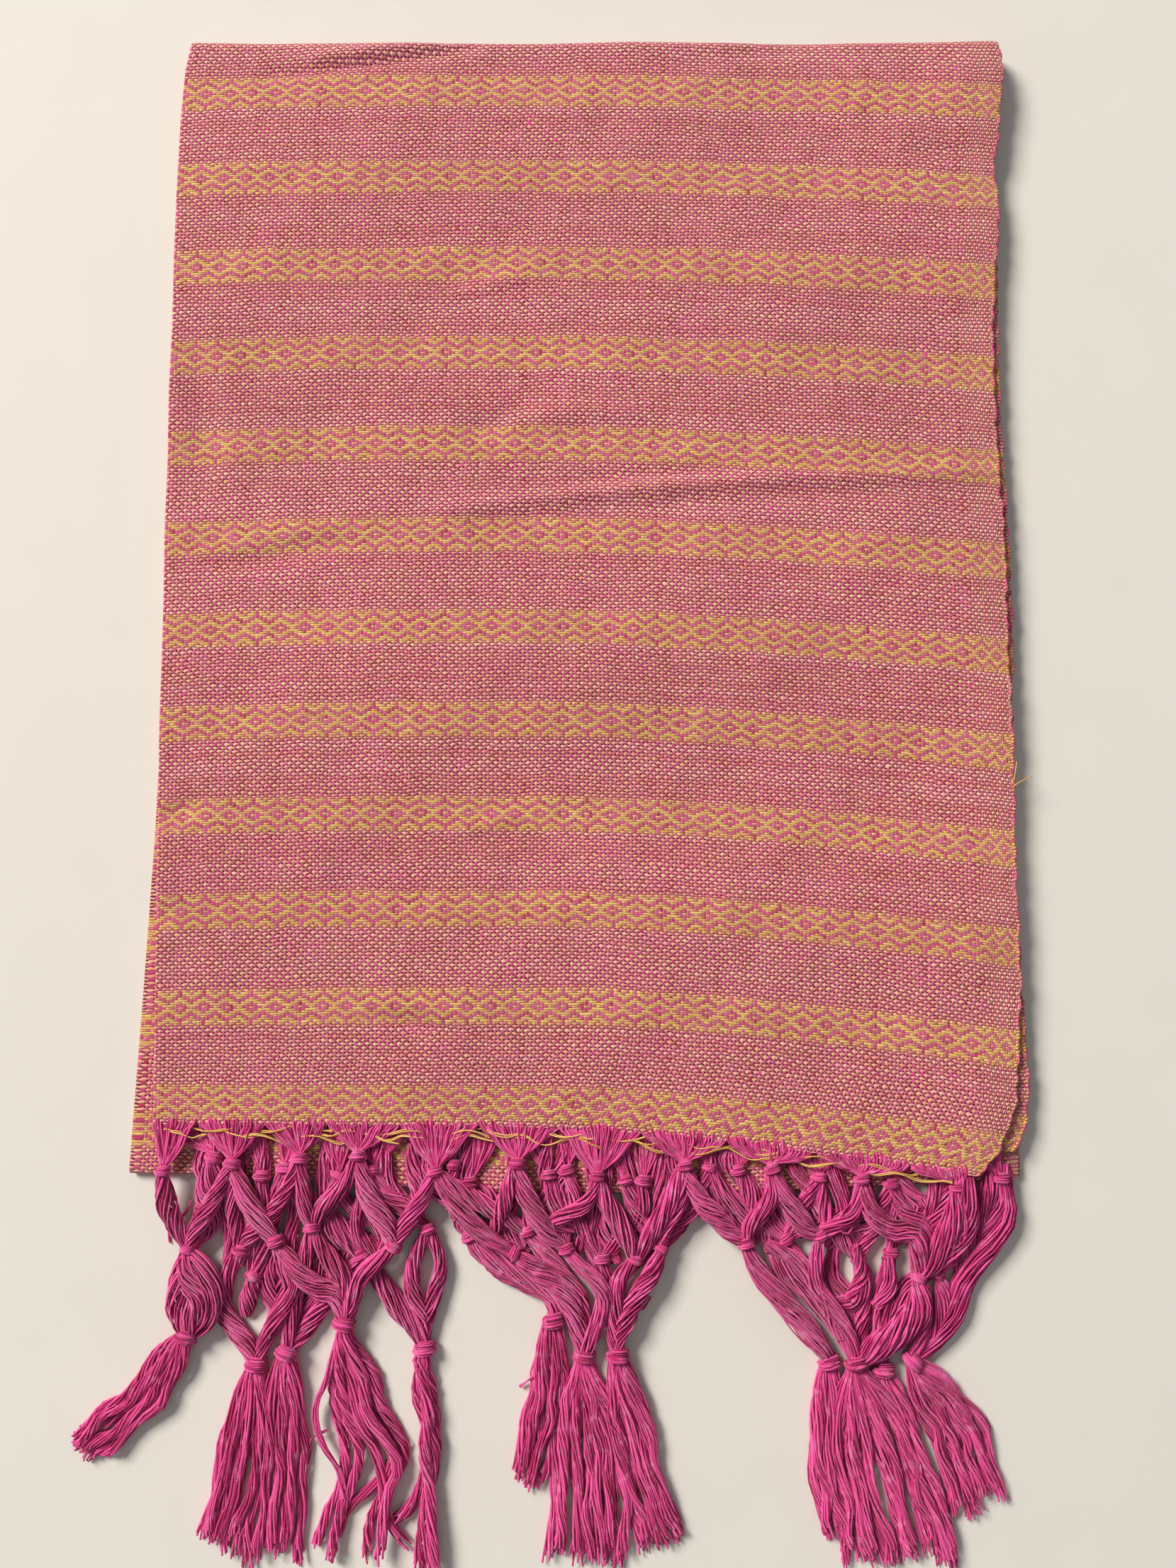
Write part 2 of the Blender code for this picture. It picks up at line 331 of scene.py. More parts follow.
def yarnMaterial(name, base, deep, pale):
    look = yarnLook
    constants = {"Sheen Weight": 0.2, "Sheen Roughness": 0.5, "Specular IOR Level": 0.2}
    material, bench, shader = newMaterial(name, constants)
    place = bench.value("ShaderNodeTexCoord", {}, {}, "Object")
    along = bench.value("ShaderNodeAttribute", {"attribute_name": "yarnAlong"}, {}, "Fac")
    tone = bench.value("ShaderNodeAttribute", {"attribute_name": "yarnTone"}, {}, "Fac")
    patch = bench.noise(place, look["patches"], 3.0)
    fibre = bench.noise(place, look["fibres"])
    colour = bench.mixed(tone.eased(0.0, 1.0), deep, base)
    colour = bench.mixed(patch.eased(0.52, 0.78) * 0.7, colour, pale)
    colour = bench.mixed(fibre.eased(0.62, 0.35) * 0.35, colour, deep)
    twist = (along * (2 * math.pi / (look["twist"] * mm)) + fibre * 6.0).join("SINE")
    height = twist * look["twistDepth"] + fibre * look["fibreDepth"]
    given = {"Strength": 0.6, "Distance": look["relief"], "Height": height}
    bump = bench.node("ShaderNodeBump", {}, given)
    rough = 0.95 - patch * 0.12
    links = material.node_tree.links
    links.new(colour.socket, shader.inputs["Base Color"])
    links.new(rough.socket, shader.inputs["Roughness"])
    links.new(bump.outputs[0], shader.inputs["Normal"])
    return material


woven = weaveMaterial()
magentaYarn = yarnMaterial("magenta yarn", yarnLook["magenta"], yarnLook["deep"], yarnLook["pale"])
weftYarn = yarnMaterial("weft yarn", yarnLook["weftPale"], yarnLook["weftYellow"], yarnLook["weftPale"])
peachYarn = yarnMaterial("peach yarn", yarnLook["peachPale"], yarnLook["peach"], yarnLook["peachPale"])
print("materials made")


# The folded cloth

edges = {  # y, left x, right x, from the crest down
    "top": (
        (312, -156.5, 191.0), (300, -158.5, 192.2), (276, -160.0, 190.0), (256, -160.3, 187.4),
        (239, -160.5, 189.0), (210, -160.5, 186.0), (184, -160.2, 184.0), (156, -160.4, 183.9),
        (128, -159.8, 184.8), (100, -159.9, 185.9), (60, -159.3, 185.6), (20, -159.0, 186.2),
        (-30, -158.0, 185.4), (-72, -157.0, 185.7), (-116, -156.0, 182.0), (-125, -156.0, 178.5),
        (-135, -155.5, 174.5), (-144, -155.5, 165.5),
    ),
    "second": (
        (312, -156.0, 190.0), (270, -158.5, 188.5), (150, -159.0, 187.0), (108, -159.0, 188.5),
        (52, -158.5, 188.5), (0, -158.0, 185.5), (-72, -157.0, 186.5), (-120, -156.5, 188.0),
        (-134, -156.2, 186.5), (-144, -156.0, 181.0),
    ),
    "block": (
        (312, -155.5, 189.0), (270, -158.0, 186.0), (178, -159.0, 185.5), (43, -159.5, 185.0),
        (-33, -161.0, 185.0), (-100, -163.5, 185.0), (-162, -166.0, 184.0),
    ),
}

creases = {  # points along it, half width, rise (a trough's is negative)
    "foldValley": (((-126, 297), (-100, 300), (-80, 303), (-58, 306), (-30, 311)), 1.9, -0.95),
    "foldRidge": (((-104, 305), (-78, 308), (-52, 311)), 3.6, 1.0),
    "foldValleyTail": (((-58, 300), (-20, 303), (20, 301)), 9.0, -0.45),
    "longRidge": (((-46, 104), (-12, 109), (30, 113.5), (87, 118), (140, 119.5), (183, 121)), 3.2, 0.9),
    "longRidgeFoot": (((4, 117), (34, 119.5), (62, 121.5)), 1.9, -0.6),
    "longRidgeBelow": (((-30, 99), (30, 106), (90, 111), (150, 113)), 5.0, -0.35),
    "arcRidge": (((-17, 144), (10, 147.5), (34, 146)), 4.0, 0.7),
    "arcFoot": (((-36, 139), (-24, 143), (-14, 148)), 4.0, -0.6),
    "upperRidge": (((-44, 198), (-24, 203), (-8, 206)), 3.0, 0.55),
    "lowArc": (((-38, -28), (-24, -25), (-14, -21)), 3.2, 0.45),
    "leftTrough": (((-141, 81), (-118, 85), (-100, 89), (-84, 90)), 4.5, -0.6),
    "leftTroughRim": (((-138, 88), (-112, 93), (-92, 97)), 5.0, 0.4),
    "leftDent": (((-158, -24), (-149, -19), (-141, -16)), 4.0, -0.8),
    "leftDentLow": (((-160, -63), (-151, -60)), 4.5, -0.7),
    "leftStrip": (((-152, 178), (-146, 150), (-145, 112)), 9.0, -0.7),
    "rightTrough": (((152, 262), (170, 263), (187, 261)), 4.0, -0.5),
    "lowCrease": (((-68, -101), (-55, -103), (-40, -107)), 2.6, -0.7),
    "lowCreaseRim": (((-64, -95), (-50, -97), (-38, -101)), 4.0, 0.4),
    "midSwell": (((-90, 40), (-20, 30), (50, 44)), 30.0, 0.7),
    "lowSwell": (((10, -60), (80, -52), (150, -66)), 26.0, 0.6),
    "upperSwell": (((40, 210), (100, 200), (150, 215)), 30.0, 0.6),
    "leftHollow": (((-110, 230), (-70, 210), (-40, 180)), 22.0, -0.5),
    "rightHollow": (((110, 20), (140, -10), (160, -30)), 22.0, -0.5),
    "cornerLift": (((196, 322), (182, 300), (160, 286)), 30.0, 1.2),
    "endLift": (((150, -120), (168, -138), (176, -150)), 14.0, 0.9),
    "foldPinch": (((60, 306), (92, 309), (120, 313)), 5.0, -0.6),
    "foldPuff": (((20, 311), (50, 313), (80, 316)), 8.0, 0.6),
}
creaseStrength = 1.9
swells = (  # wave length along x and y, turn, rise: the cloth never lies quite flat
    (95.0, 160.0, 0.4, 0.22), (58.0, -70.0, 1.9, 0.14), (-37.0, 41.0, 4.2, 0.08), (23.0, 210.0, 2.7, 0.05),
)


def strokeRise(x, y, points, halfWidth, rise):
    best = np.full(x.shape, 1e9)
    where = np.zeros(x.shape)
    count = len(points) - 1
    for i, (start, stop) in enumerate(zip(points, points[1:])):
        run = np.array(stop, float) - start
        share = ((x - start[0]) * run[0] + (y - start[1]) * run[1]) / (run @ run)
        share = np.clip(share, 0.0, 1.0)
        gone = np.hypot(x - start[0] - share * run[0], y - start[1] - share * run[1])
        nearer = gone < best
        best = np.where(nearer, gone, best)
        where = np.where(nearer, (i + share) / count, where)
    fade = 0.35 + 0.65 * np.sin(np.pi * np.clip(where, 0.02, 0.98)) ** 0.6
    return rise * fade * np.exp(-((best / halfWidth) ** 2))


def relief(x, y):
    total = np.zeros(x.shape)
    for points, halfWidth, rise in creases.values():
        total += creaseStrength * strokeRise(x, y, points, halfWidth, rise)
    for waveX, waveY, turn, rise in swells:
        total += rise * np.sin(2 * np.pi * (x / waveX + y / waveY) + turn)
    return total


def raised(points):
    lifted = points.copy()
    lifted[..., 2] *= 1 + relief(points[..., 0], points[..., 1]) / stack
    return lifted


def edgeAt(name, y, side):
    rows = np.array(sorted(edges[name]), float)
    return np.interp(y, rows[:, 0], rows[:, side])


def scallop(share, y):
    wave = 0.3 * math.sin(y * 0.67 + 1.3 * math.sin(y / 17)) + 0.25 * math.sin(y * 0.273 + 0.7)
    return wave * np.clip((share - 0.92) / 0.08, 0, 1)


def slidBy(share, y, atCrest=0.0, amount=1.0):
    slack = np.clip((share - slide["startShare"]) / (1 - slide["startShare"]), 0, 1)
    toEnd = np.clip((crestY - y) / (crestY - wovenEndY), 0, 1)
    near = np.clip((slide["riseFrom"] - y) / (slide["riseFrom"] - wovenEndY), 0, 1)
    rise = slide["endRise"] * near * near * (3 - 2 * near) * np.clip(1 - share / slide["riseReach"], 0, 1)
    return slack ** slide["curve"] * (slide["atEnd"] * amount * toEnd + atCrest * (1 - toEnd)) - rise


def endNumber(across):
    start = threads["selvedgeFrom"]
    body = np.minimum(across, start) / threads["endPitch"]
    return body + np.maximum(across - start, 0) / threads["selvedgePitch"]


def pickNumber(along):
    bandLength = threads["bandPicks"] * threads["bandPitch"]
    plain = threads["repeatPicks"] - threads["bandPicks"]
    length = bandLength + plain * threads["plainPitch"]
    start = along - (threads["lastBand"] - bandLength / 2) + length
    turns = np.floor(start / length)
    rest = start - turns * length
    inBand = rest / threads["bandPitch"]
    inPlain = threads["bandPicks"] + (rest - bandLength) / threads["plainPitch"]
    return turns * threads["repeatPicks"] + np.where(rest < bandLength, inBand, inPlain)


def threadPlace(across, y, side=1.0, shift=0.0):
    share = across / foldedWidth
    toEnd = np.clip((crestY - y) / (crestY - wovenEndY), 0, 1)
    left = np.clip(1 - share / slide["leftReach"], 0, 1) ** 2 * slide["leftDrop"] * (1 - toEnd ** 6)
    extra = slidBy(share, y, slide["atCrest"]) - slidBy(share, y)
    bow = slide["bow"] * np.sin(np.pi * np.clip((y - slide["bowFrom"]) / slide["bowLength"], 0, 1)) ** 2
    along = y + extra + left + bow - wovenEndY + shift
    return np.stack([threads["foldEnd"] + side * endNumber(across), pickNumber(along)], -1)


def shellObject(name, outer, inner, place):
    rows, columns = outer.shape[:2]
    index = np.arange(rows * columns).reshape(rows, columns)
    under = index + rows * columns

    def quads(grid):
        return np.stack([grid[:-1, :-1], grid[1:, :-1], grid[1:, 1:], grid[:-1, 1:]], -1).reshape(-1, 4)

    def rim(first, second):
        return np.stack([first[:-1], first[1:], second[1:], second[:-1]], -1)

    faces = [quads(index), quads(under)[:, ::-1]]
    faces += [rim(index[0], under[0]), rim(under[-1], index[-1])]
    faces += [rim(under[:, 0], index[:, 0]), rim(index[:, -1], under[:, -1])]
    points = np.concatenate([outer.reshape(-1, 3), inner.reshape(-1, 3)]) * mm
    both = np.concatenate([place.reshape(-1, 2)] * 2)
    return meshObject(name, points, np.concatenate(faces), both)


def meshObject(name, points, faces, place):
    mesh = bpy.data.meshes.new(name)
    mesh.from_pydata(points.tolist(), [], faces.tolist())
    layer = mesh.uv_layers.new(name="threads")
    corners = np.zeros(len(mesh.loops), np.int32)
    mesh.loops.foreach_get("vertex_index", corners)
    layer.data.foreach_set("uv", place[corners].astype(np.float32).ravel())
    work = bmesh.new()
    work.from_mesh(mesh)
    bmesh.ops.recalc_face_normals(work, faces=work.faces)
    work.to_mesh(mesh)
    work.free()
    mesh.materials.append(woven)
    mesh.shade_smooth()
    mesh.set_sharp_from_angle(angle=math.radians(75))
    made = bpy.data.objects.new(name, mesh)
    bpy.context.scene.collection.objects.link(made)
    return made


rounding = {
    "lip": 0.28,  # share of the wall that an edge is drawn in by
    "endLip": 0.2,
    "foldAngles": 9,
    "noseRadius": 2.1,  # a blunt nose, where an inner layer ends inside the outer fold
    "noseAngles": (20, 40, 60, 76),
    "noseLift": 0.2,
}


def foldedPair(shape):
    bend = pair / 2
    upper = np.linspace(foldedWidth, bend, shape["columns"])
    turn = np.radians(np.linspace(90, 270, rounding["foldAngles"]))[1:-1]
    turnLength = np.abs(np.linspace(bend, -bend, rounding["foldAngles"]))[1:-1]
    lower = np.linspace(bend, foldedWidth - shape["overhang"], shape["lowColumns"])
    length = np.concatenate([upper, turnLength, lower])
    side = np.where(np.arange(len(length)) < len(upper) + len(turn) / 2, 1, -1)

    def section(skin, outward):
        radius = bend - skin
        x = np.concatenate([upper, bend + radius * np.cos(turn), lower])
        top = np.full(len(upper), pair - skin)
        z = np.concatenate([top, bend + radius * np.sin(turn), np.full(len(lower), skin)])
        z[0] -= rounding["lip"] * wall * outward
        z[-1] += rounding["lip"] * wall * outward
        return x, z

    stations = [(y, shape["base"], 0.0) for y in np.linspace(wovenEndY, foldCentreY, shape["rows"])]
    if shape["turn"]:
        inner = shape["base"] - foldRadius
        for bent in np.radians(np.linspace(0, shape["turn"], shape["turnRows"]))[1:]:
            stations.append((foldCentreY + inner * math.sin(bent), foldRadius + inner * math.cos(bent), bent))
    else:
        for bent in np.radians(rounding["noseAngles"]):
            stations.append((foldCentreY + rounding["noseRadius"] * math.sin(bent), shape["base"], -bent))

    def surface(skin):
        outward = 1 if skin == 0 else -1
        x, z = section(skin, outward)
        share = x / foldedWidth
        reach = np.maximum(x, 0) / foldedWidth
        grid = np.zeros((len(stations), len(x), 3))
        for i, (y, base, bent) in enumerate(stations):
            flatY = min(y, foldCentreY)
            left = edgeAt(shape["edges"], flatY, 1)
            right = edgeAt(shape["edges"], flatY, 2)
            height = z - rounding["endLip"] * wall * outward * side if i == 0 else z
            grid[i, :, 0] = left + share * (right - left) + scallop(share, flatY + shape["base"])
            grid[i, :, 1] = y - slidBy(reach, flatY, 0.0, shape["slideShare"])
            grid[i, :, 2] = base + height * math.cos(bent)
            if bent < 0:
                grid[i, :, 2] += rounding["noseLift"] * (1 - math.cos(bent))
            else:
                grid[i, :, 1] += height * math.sin(bent)
        return grid

    outer = surface(0.0)
    place = np.zeros(outer.shape[:2] + (2,))
    for i, (y, base, bent) in enumerate(stations):
        travelled = y if bent <= 0 else foldCentreY + bent * foldRadius
        place[i] = threadPlace(length, np.full(len(length), travelled), side, shape["pickShift"])
    return raised(outer), raised(surface(wall)), place


topShape = {
    "edges": "top", "base": 7.2, "overhang": 1.6, "turn": 180.0, "turnRows": 15,
    "columns": 150, "lowColumns": 26, "rows": 196, "pickShift": 0.0, "slideShare": 1.0,
}
secondShape = {
    "edges": "second", "base": 4.6, "overhang": 2.2, "turn": 0.0, "turnRows": 0,
    "columns": 80, "lowColumns": 18, "rows": 110, "pickShift": 3.0, "slideShare": 0.5,
}
topPanel = shellObject("topPanel", *foldedPair(topShape))
secondPanel = shellObject("secondPanel", *foldedPair(secondShape))
print("upper layers made")

blockShape = {  # the four layers underneath, as one body with its edges layered
    "top": 4.3, "endY": -162.0, "slantFade": 120.0, "groove": 2.2, "edgePicks": 1.2,
    "endDrop": ((0, 45, 140, 240, 350), (0.0, -1.0, -7.5, -8.0, -2.0)),
    "stand": (0.4, -0.8, 0.6, -0.3), "topColumns": 90, "bottomColumns": 30, "rows": 120,
    "pickShift": 9.6, "endAngles": (8, 25, 42, 60, 76, 90), "edgeAngles": (-80, -50, -20, 20, 50, 80),
    "rowsFrom": 5.0, "beforeFold": 0.3, "foldAngles": (5, 25, 45, 65),
}


def hiddenLayers(name, shape):
    high = shape["top"]
    layer = high / len(shape["stand"])
    section = []  # share of the width, how far it stands out past that, height
    for share in np.linspace(0, 1, shape["bottomColumns"])[1:]:
        section.append((share, 0.0, 0.0))
    for i, stand in enumerate(shape["stand"]):
        for angle in shape["edgeAngles"][1 if i == 0 else 0:]:
            turned = math.radians(angle)
            out = stand + layer * 0.5 * (math.cos(turned) - 1)
            section.append((1.0, out, layer * (i + 0.5 + 0.5 * math.sin(turned))))
        if i < len(shape["stand"]) - 1:
            section.append((1.0, -shape["groove"], layer * (i + 1)))
    for share in np.linspace(1, 0, shape["topColumns"])[1:-1]:
        section.append((share, 0.0, high))
    radius = high / 4
    for centre in (3, 1):
        for angle in reversed(shape["edgeAngles"]):
            turned = math.radians(angle)
            out = radius * (math.cos(turned) - 1)
            section.append((0.0, out, radius * (centre + math.sin(turned))))
        if centre == 3:
            section.append((0.0, -shape["groove"], high / 2))
    section = np.array(section)
    stations = []
    for angle in shape["endAngles"]:
        rise = math.sin(math.radians(angle)) * high / 2
        back = high / 2 * (1 - math.cos(math.radians(angle)))
        stations.append((shape["endY"] + back, high / 2 - rise, high / 2 + rise))
    firstY = shape["endY"] + shape["rowsFrom"]
    lastY = foldCentreY - shape["beforeFold"]
    stations += [(y, 0.0, high) for y in np.linspace(firstY, lastY, shape["rows"])]
    for angle in shape["foldAngles"]:
        bent = math.radians(angle)
        low = foldRadius - high / 2 * math.cos(bent)
        stations.append((foldCentreY + rounding["noseRadius"] * math.sin(bent), low, high))
    grid = np.zeros((len(stations), len(section), 3))
    place = np.zeros((len(stations), len(section), 2))
    for i, (y, low, top) in enumerate(stations):
        left = edgeAt("block", y, 1)
        right = edgeAt("block", y, 2)
        slant = max(0.0, 1 - (y - shape["endY"]) / shape["slantFade"])
        x = left + section[:, 0] * (right - left) + np.where(section[:, 0] > 0.5, 1, -1) * section[:, 1]
        grid[i, :, 0] = x
        grid[i, :, 1] = y + slant * np.interp(x - left, *shape["endDrop"])
        grid[i, :, 2] = low + (top - low) * section[:, 2] / high
        across = section[:, 0] * foldedWidth
        side = np.where(section[:, 2] > high * 0.5, 1.0, -1.0)
        onSide = (section[:, 0] == 0.0) | (section[:, 0] == 1.0)
        across = across + np.where(onSide, section[:, 2] * shape["edgePicks"], 0.0)
        place[i] = threadPlace(across, np.full(len(across), y), side, shape["pickShift"])
    rows, columns = grid.shape[:2]
    index = np.arange(rows * columns).reshape(rows, columns)
    beside = np.roll(index, -1, axis=1)
    quads = np.stack([index[:-1], beside[:-1], beside[1:], index[1:]], -1).reshape(-1, 4)
    points = raised(grid).reshape(-1, 3) * mm
    made = meshObject(name, points, quads, place.reshape(-1, 2))
    work = bmesh.new()
    work.from_mesh(made.data)
    work.edges.ensure_lookup_table()
    ends = [edge for edge in work.edges if edge.is_boundary]
    bmesh.ops.triangle_fill(work, edges=ends, use_beauty=False)
    bmesh.ops.recalc_face_normals(work, faces=work.faces)
    work.to_mesh(made.data)
    work.free()
    return made


bottomPanels = hiddenLayers("bottomPanels", blockShape)
print("hidden layers made")


# Yarns: every bundle is a guide line that Geometry Nodes turns into yarns laid round it

def bundleTree():
    tree = bpy.data.node_groups.new("yarn bundles", "GeometryNodeTree")
    asked = (
        ("Guides", "NodeSocketGeometry", None), ("Steps", "NodeSocketInt", 12),
        ("Yarn radius", "NodeSocketFloat", 0.00033), ("Flatness", "NodeSocketFloat", 0.6),
        ("Wave", "NodeSocketFloat", 0.0006), ("Trim", "NodeSocketFloat", 0.0),
        ("Sides", "NodeSocketInt", 4), ("Seed", "NodeSocketInt", 0), ("Yarn", "NodeSocketMaterial", None),
    )
    for name, kind, start in asked:
        made = tree.interface.new_socket(name, in_out="INPUT", socket_type=kind)
        if start is not None:
            made.default_value = start
    tree.interface.new_socket("Yarns", in_out="OUTPUT", socket_type="NodeSocketGeometry")
    bench = Bench(tree)
    given = bench.node("NodeGroupInput")
    ask = {socket.name: Value(bench, socket) for socket in given.outputs}

    def attribute(name):
        return bench.value("GeometryNodeInputNamedAttribute", {"data_type": "FLOAT"}, {"Name": name})

    lines = bench.value("GeometryNodeMeshToCurve", {}, {0: ask["Guides"]})
    lines = bench.value("GeometryNodeCurveSplineType", {"spline_type": "CATMULL_ROM"}, {"Curve": lines})
    lines = bench.value("GeometryNodeSetSplineResolution", {}, {"Geometry": lines, "Resolution": 6})
    lines = bench.value("GeometryNodeResampleCurve", {}, {"Curve": lines, "Count": ask["Steps"]})
    count = attribute("yarnCount")
    copies = bench.node("GeometryNodeDuplicateElements", {"domain": "SPLINE"},
                        {"Geometry": lines, "Amount": count + 0.5})
    lines = Value(bench, copies.outputs["Geometry"])
    number = Value(bench, copies.outputs["Duplicate Index"])
    bundle = attribute("bundle")
    along = bench.value("GeometryNodeSplineParameter", {}, {}, "Factor")
    distance = bench.value("GeometryNodeSplineParameter", {}, {}, "Length")
    identity = number * 17.0 + bundle * 131.0 + ask["Seed"] * 1009.0
    dice = {"data_type": "FLOAT"}
    tone = bench.value("FunctionNodeRandomValue", dice, {2: 0.0, 3: 1.0, "ID": identity, "Seed": 3}, 1)
    radial = (((number + 0.5) / count).join("SQRT") * 0.7 + 0.3) * attribute("bundleRadius")
    goldenAngle = 2.39996  # spreads the yarns evenly round the guide
    angle = number * goldenAngle + along * attribute("bundleTurns") * (2 * math.pi) + bundle * 1.7
    sideways = radial * angle.join("COSINE")
    upwards = radial * angle.join("SINE") * ask["Flatness"]
    tangent = bench.value("GeometryNodeInputTangent")
    side = bench.vector("NORMALIZE", bench.vector("CROSS_PRODUCT", tangent, (0.0, 0.0, 1.0)))
    up = bench.vector("CROSS_PRODUCT", side, tangent)

    def scaled(direction, size):
        return bench.value("ShaderNodeVectorMath", {"operation": "SCALE"}, {0: direction, "Scale": size})

    position = bench.value("GeometryNodeInputPosition")
    wobble = bench.value("ShaderNodeTexNoise", {"noise_dimensions": "4D"},
                         {"Vector": position, "W": identity * 0.731, "Scale": 110.0, "Detail": 1.0}, 1)
    wobble = bench.vector("SUBTRACT", wobble, (0.5, 0.5, 0.5))
    offset = bench.vector("ADD", scaled(side, sideways), scaled(up, upwards))
    offset = bench.vector("ADD", offset, scaled(wobble, ask["Wave"]))
    target = bench.vector("ADD", position, offset)
    parts = bench.node("ShaderNodeSeparateXYZ", {}, {0: target})
    height = Value(bench, parts.outputs[2]).join("MAXIMUM", ask["Yarn radius"] * 1.2)
    target = bench.value("ShaderNodeCombineXYZ", {}, {
        0: Value(bench, parts.outputs[0]), 1: Value(bench, parts.outputs[1]), 2: height})
    lines = bench.value("GeometryNodeSetPosition", {}, {"Geometry": lines, "Position": target})
    cut = bench.value("FunctionNodeRandomValue", dice, {2: 0.0, 3: 1.0, "ID": identity, "Seed": 8}, 1)
    lines = bench.value("GeometryNodeTrimCurve", {}, {"Curve": lines, "End": 1.0 - cut * ask["Trim"]})
    keep = {"data_type": "FLOAT", "domain": "POINT"}
    lines = bench.value("GeometryNodeStoreNamedAttribute", keep,
                        {"Geometry": lines, "Name": "yarnAlong", "Value": distance})
    lines = bench.value("GeometryNodeStoreNamedAttribute", keep,
                        {"Geometry": lines, "Name": "yarnTone", "Value": tone})
    thick = ask["Yarn radius"] * (tone * 0.35 + 0.82)
    ring = bench.value("GeometryNodeCurvePrimitiveCircle", {}, {"Resolution": ask["Sides"], "Radius": 1.0})
    tubes = bench.node("GeometryNodeCurveToMesh", {},
                       {"Curve": lines, "Profile Curve": ring, "Fill Caps": True})
    if "Scale" in tubes.inputs:
        tree.links.new(thick.socket, tubes.inputs["Scale"])
    else:
        slim = bench.value("GeometryNodeSetCurveRadius", {}, {"Curve": lines, "Radius": thick})
        tree.links.new(slim.socket, tubes.inputs["Curve"])
    mesh = bench.value("GeometryNodeSetShadeSmooth", {}, {"Geometry": Value(bench, tubes.outputs[0])})
    mesh = bench.value("GeometryNodeRealizeInstances", {}, {"Geometry": mesh})
    mesh = bench.value("GeometryNodeSetMaterial", {}, {"Geometry": mesh, "Material": ask["Yarn"]})
    out = bench.node("NodeGroupOutput")
    tree.links.new(mesh.socket, out.inputs[0])
    return tree


yarnTree = bundleTree()


class Guides:
    def __init__(self):
        self.points = []
        self.edges = []
        self.values = {"bundleRadius": [], "yarnCount": [], "bundleTurns": [], "bundle": []}
        self.made = 0

    def add(self, points, radii, yarns, turns=0.0):
        start = len(self.points)
        self.made += 1
        spots = np.interp(np.linspace(0, 1, len(points)), np.linspace(0, 1, len(radii)), radii)
        for point, radius in zip(points, spots):
            self.points.append([part * mm for part in point])
            self.values["bundleRadius"].append(radius * mm)
            self.values["yarnCount"].append(yarns)
            self.values["bundleTurns"].append(turns)
            self.values["bundle"].append(self.made)
        self.edges += [(start + i, start + i + 1) for i in range(len(points) - 1)]

    def yarns(self, name, asked):
        mesh = bpy.data.meshes.new(name + "Guides")
        mesh.from_pydata(self.points, self.edges, [])
        for key, values in self.values.items():
            mesh.attributes.new(key, "FLOAT", "POINT").data.foreach_set("value", values)
        guide = bpy.data.objects.new(name + "Guides", mesh)
        bpy.context.scene.collection.objects.link(guide)
        modifier = guide.modifiers.new("yarns", "NODES")
        modifier.node_group = yarnTree
        keys = {item.name: item.identifier for item in yarnTree.interface.items_tree
                if item.in_out == "INPUT"}
        for label, value in asked.items():
            modifier[keys[label]] = value
        graph = bpy.context.evaluated_depsgraph_get()
        result = bpy.data.meshes.new_from_object(guide.evaluated_get(graph))
        bpy.data.objects.remove(guide, do_unlink=True)
        for extra in self.values:
            if extra in result.attributes:
                result.attributes.remove(result.attributes[extra])
        made = bpy.data.objects.new(name, result)
        result.name = name
        bpy.context.scene.collection.objects.link(made)
        print(name, len(result.polygons), "faces")
        return made


bed = {  # y and height of the middle of a bundle, for each fringe
    "upper": ((-314, 2.4), (-232, 4.0), (-200, 4.4), (-182, 6.2), (-166, 8.0), (-150, 9.0), (-130, 9.4)),
    "lower": ((-314, 1.9), (-232, 2.1), (-200, 2.3), (-182, 3.6), (-168, 5.4), (-150, 6.6), (-130, 6.8)),
}

knots = {  # x and y of each knot, rows a and b under the weave, c to f halfway, t above the tassels
    "a1": (-151, -160), "a2": (-124, -157), "a3": (-98, -155), "a4": (-75, -154), "a5": (-45, -160),
    "a6": (-13, -157), "a7": (18, -162), "a8": (52, -158), "a9": (86, -159), "a10": (121, -163),
    "a11": (158, -166),
    "b1": (-132, -155), "b2": (-113, -162), "b3": (-104, -159), "b4": (-83, -162), "b5": (-70, -160),
    "b6": (-38, -158), "b7": (-32, -165), "b8": (-1, -162), "b9": (6, -160), "b10": (29, -164),
    "b11": (36, -164), "b12": (62, -159), "b13": (73, -160), "b14": (105, -163), "b15": (133, -165),
    "b16": (164, -174), "b17": (176, -163),
    "c1": (-141, -190), "c2": (-107, -187), "c3": (-93, -182), "e2": (-61, -189), "e4": (-14, -192),
    "e6": (6, -190), "e8": (33, -194), "e9": (43, -190), "f1": (76, -188), "f4": (105, -185),
    "f7": (143, -201),
    "d1": (-121, -191), "d2": (-116, -201), "d3": (-74, -193), "e1": (-48, -183), "e3": (-32, -186),
    "e5": (-9, -184), "e7": (20, -194), "f2": (86, -190), "f3": (92, -187), "f5": (120, -194),
    "f6": (133, -192), "f8": (151, -200),
    "t1": (-141, -223), "t2": (-114, -234), "t3": (-102, -229), "t4": (-80, -218), "t5": (-49, -228),
    "t6": (1, -217), "t7": (13, -231), "t8": (26, -230), "t9": (108, -233), "t10": (118, -233),
    "t11": (129, -236), "t12": (140, -232),
}
upperKnots = {"c1", "c2", "c3", "e2", "e4", "e6", "e8", "e9", "f1", "f4", "f7"}
upperKnots |= {"t1", "t3", "t4", "t6", "t8", "t10", "t12"} | {key for key in knots if key[0] == "a"}

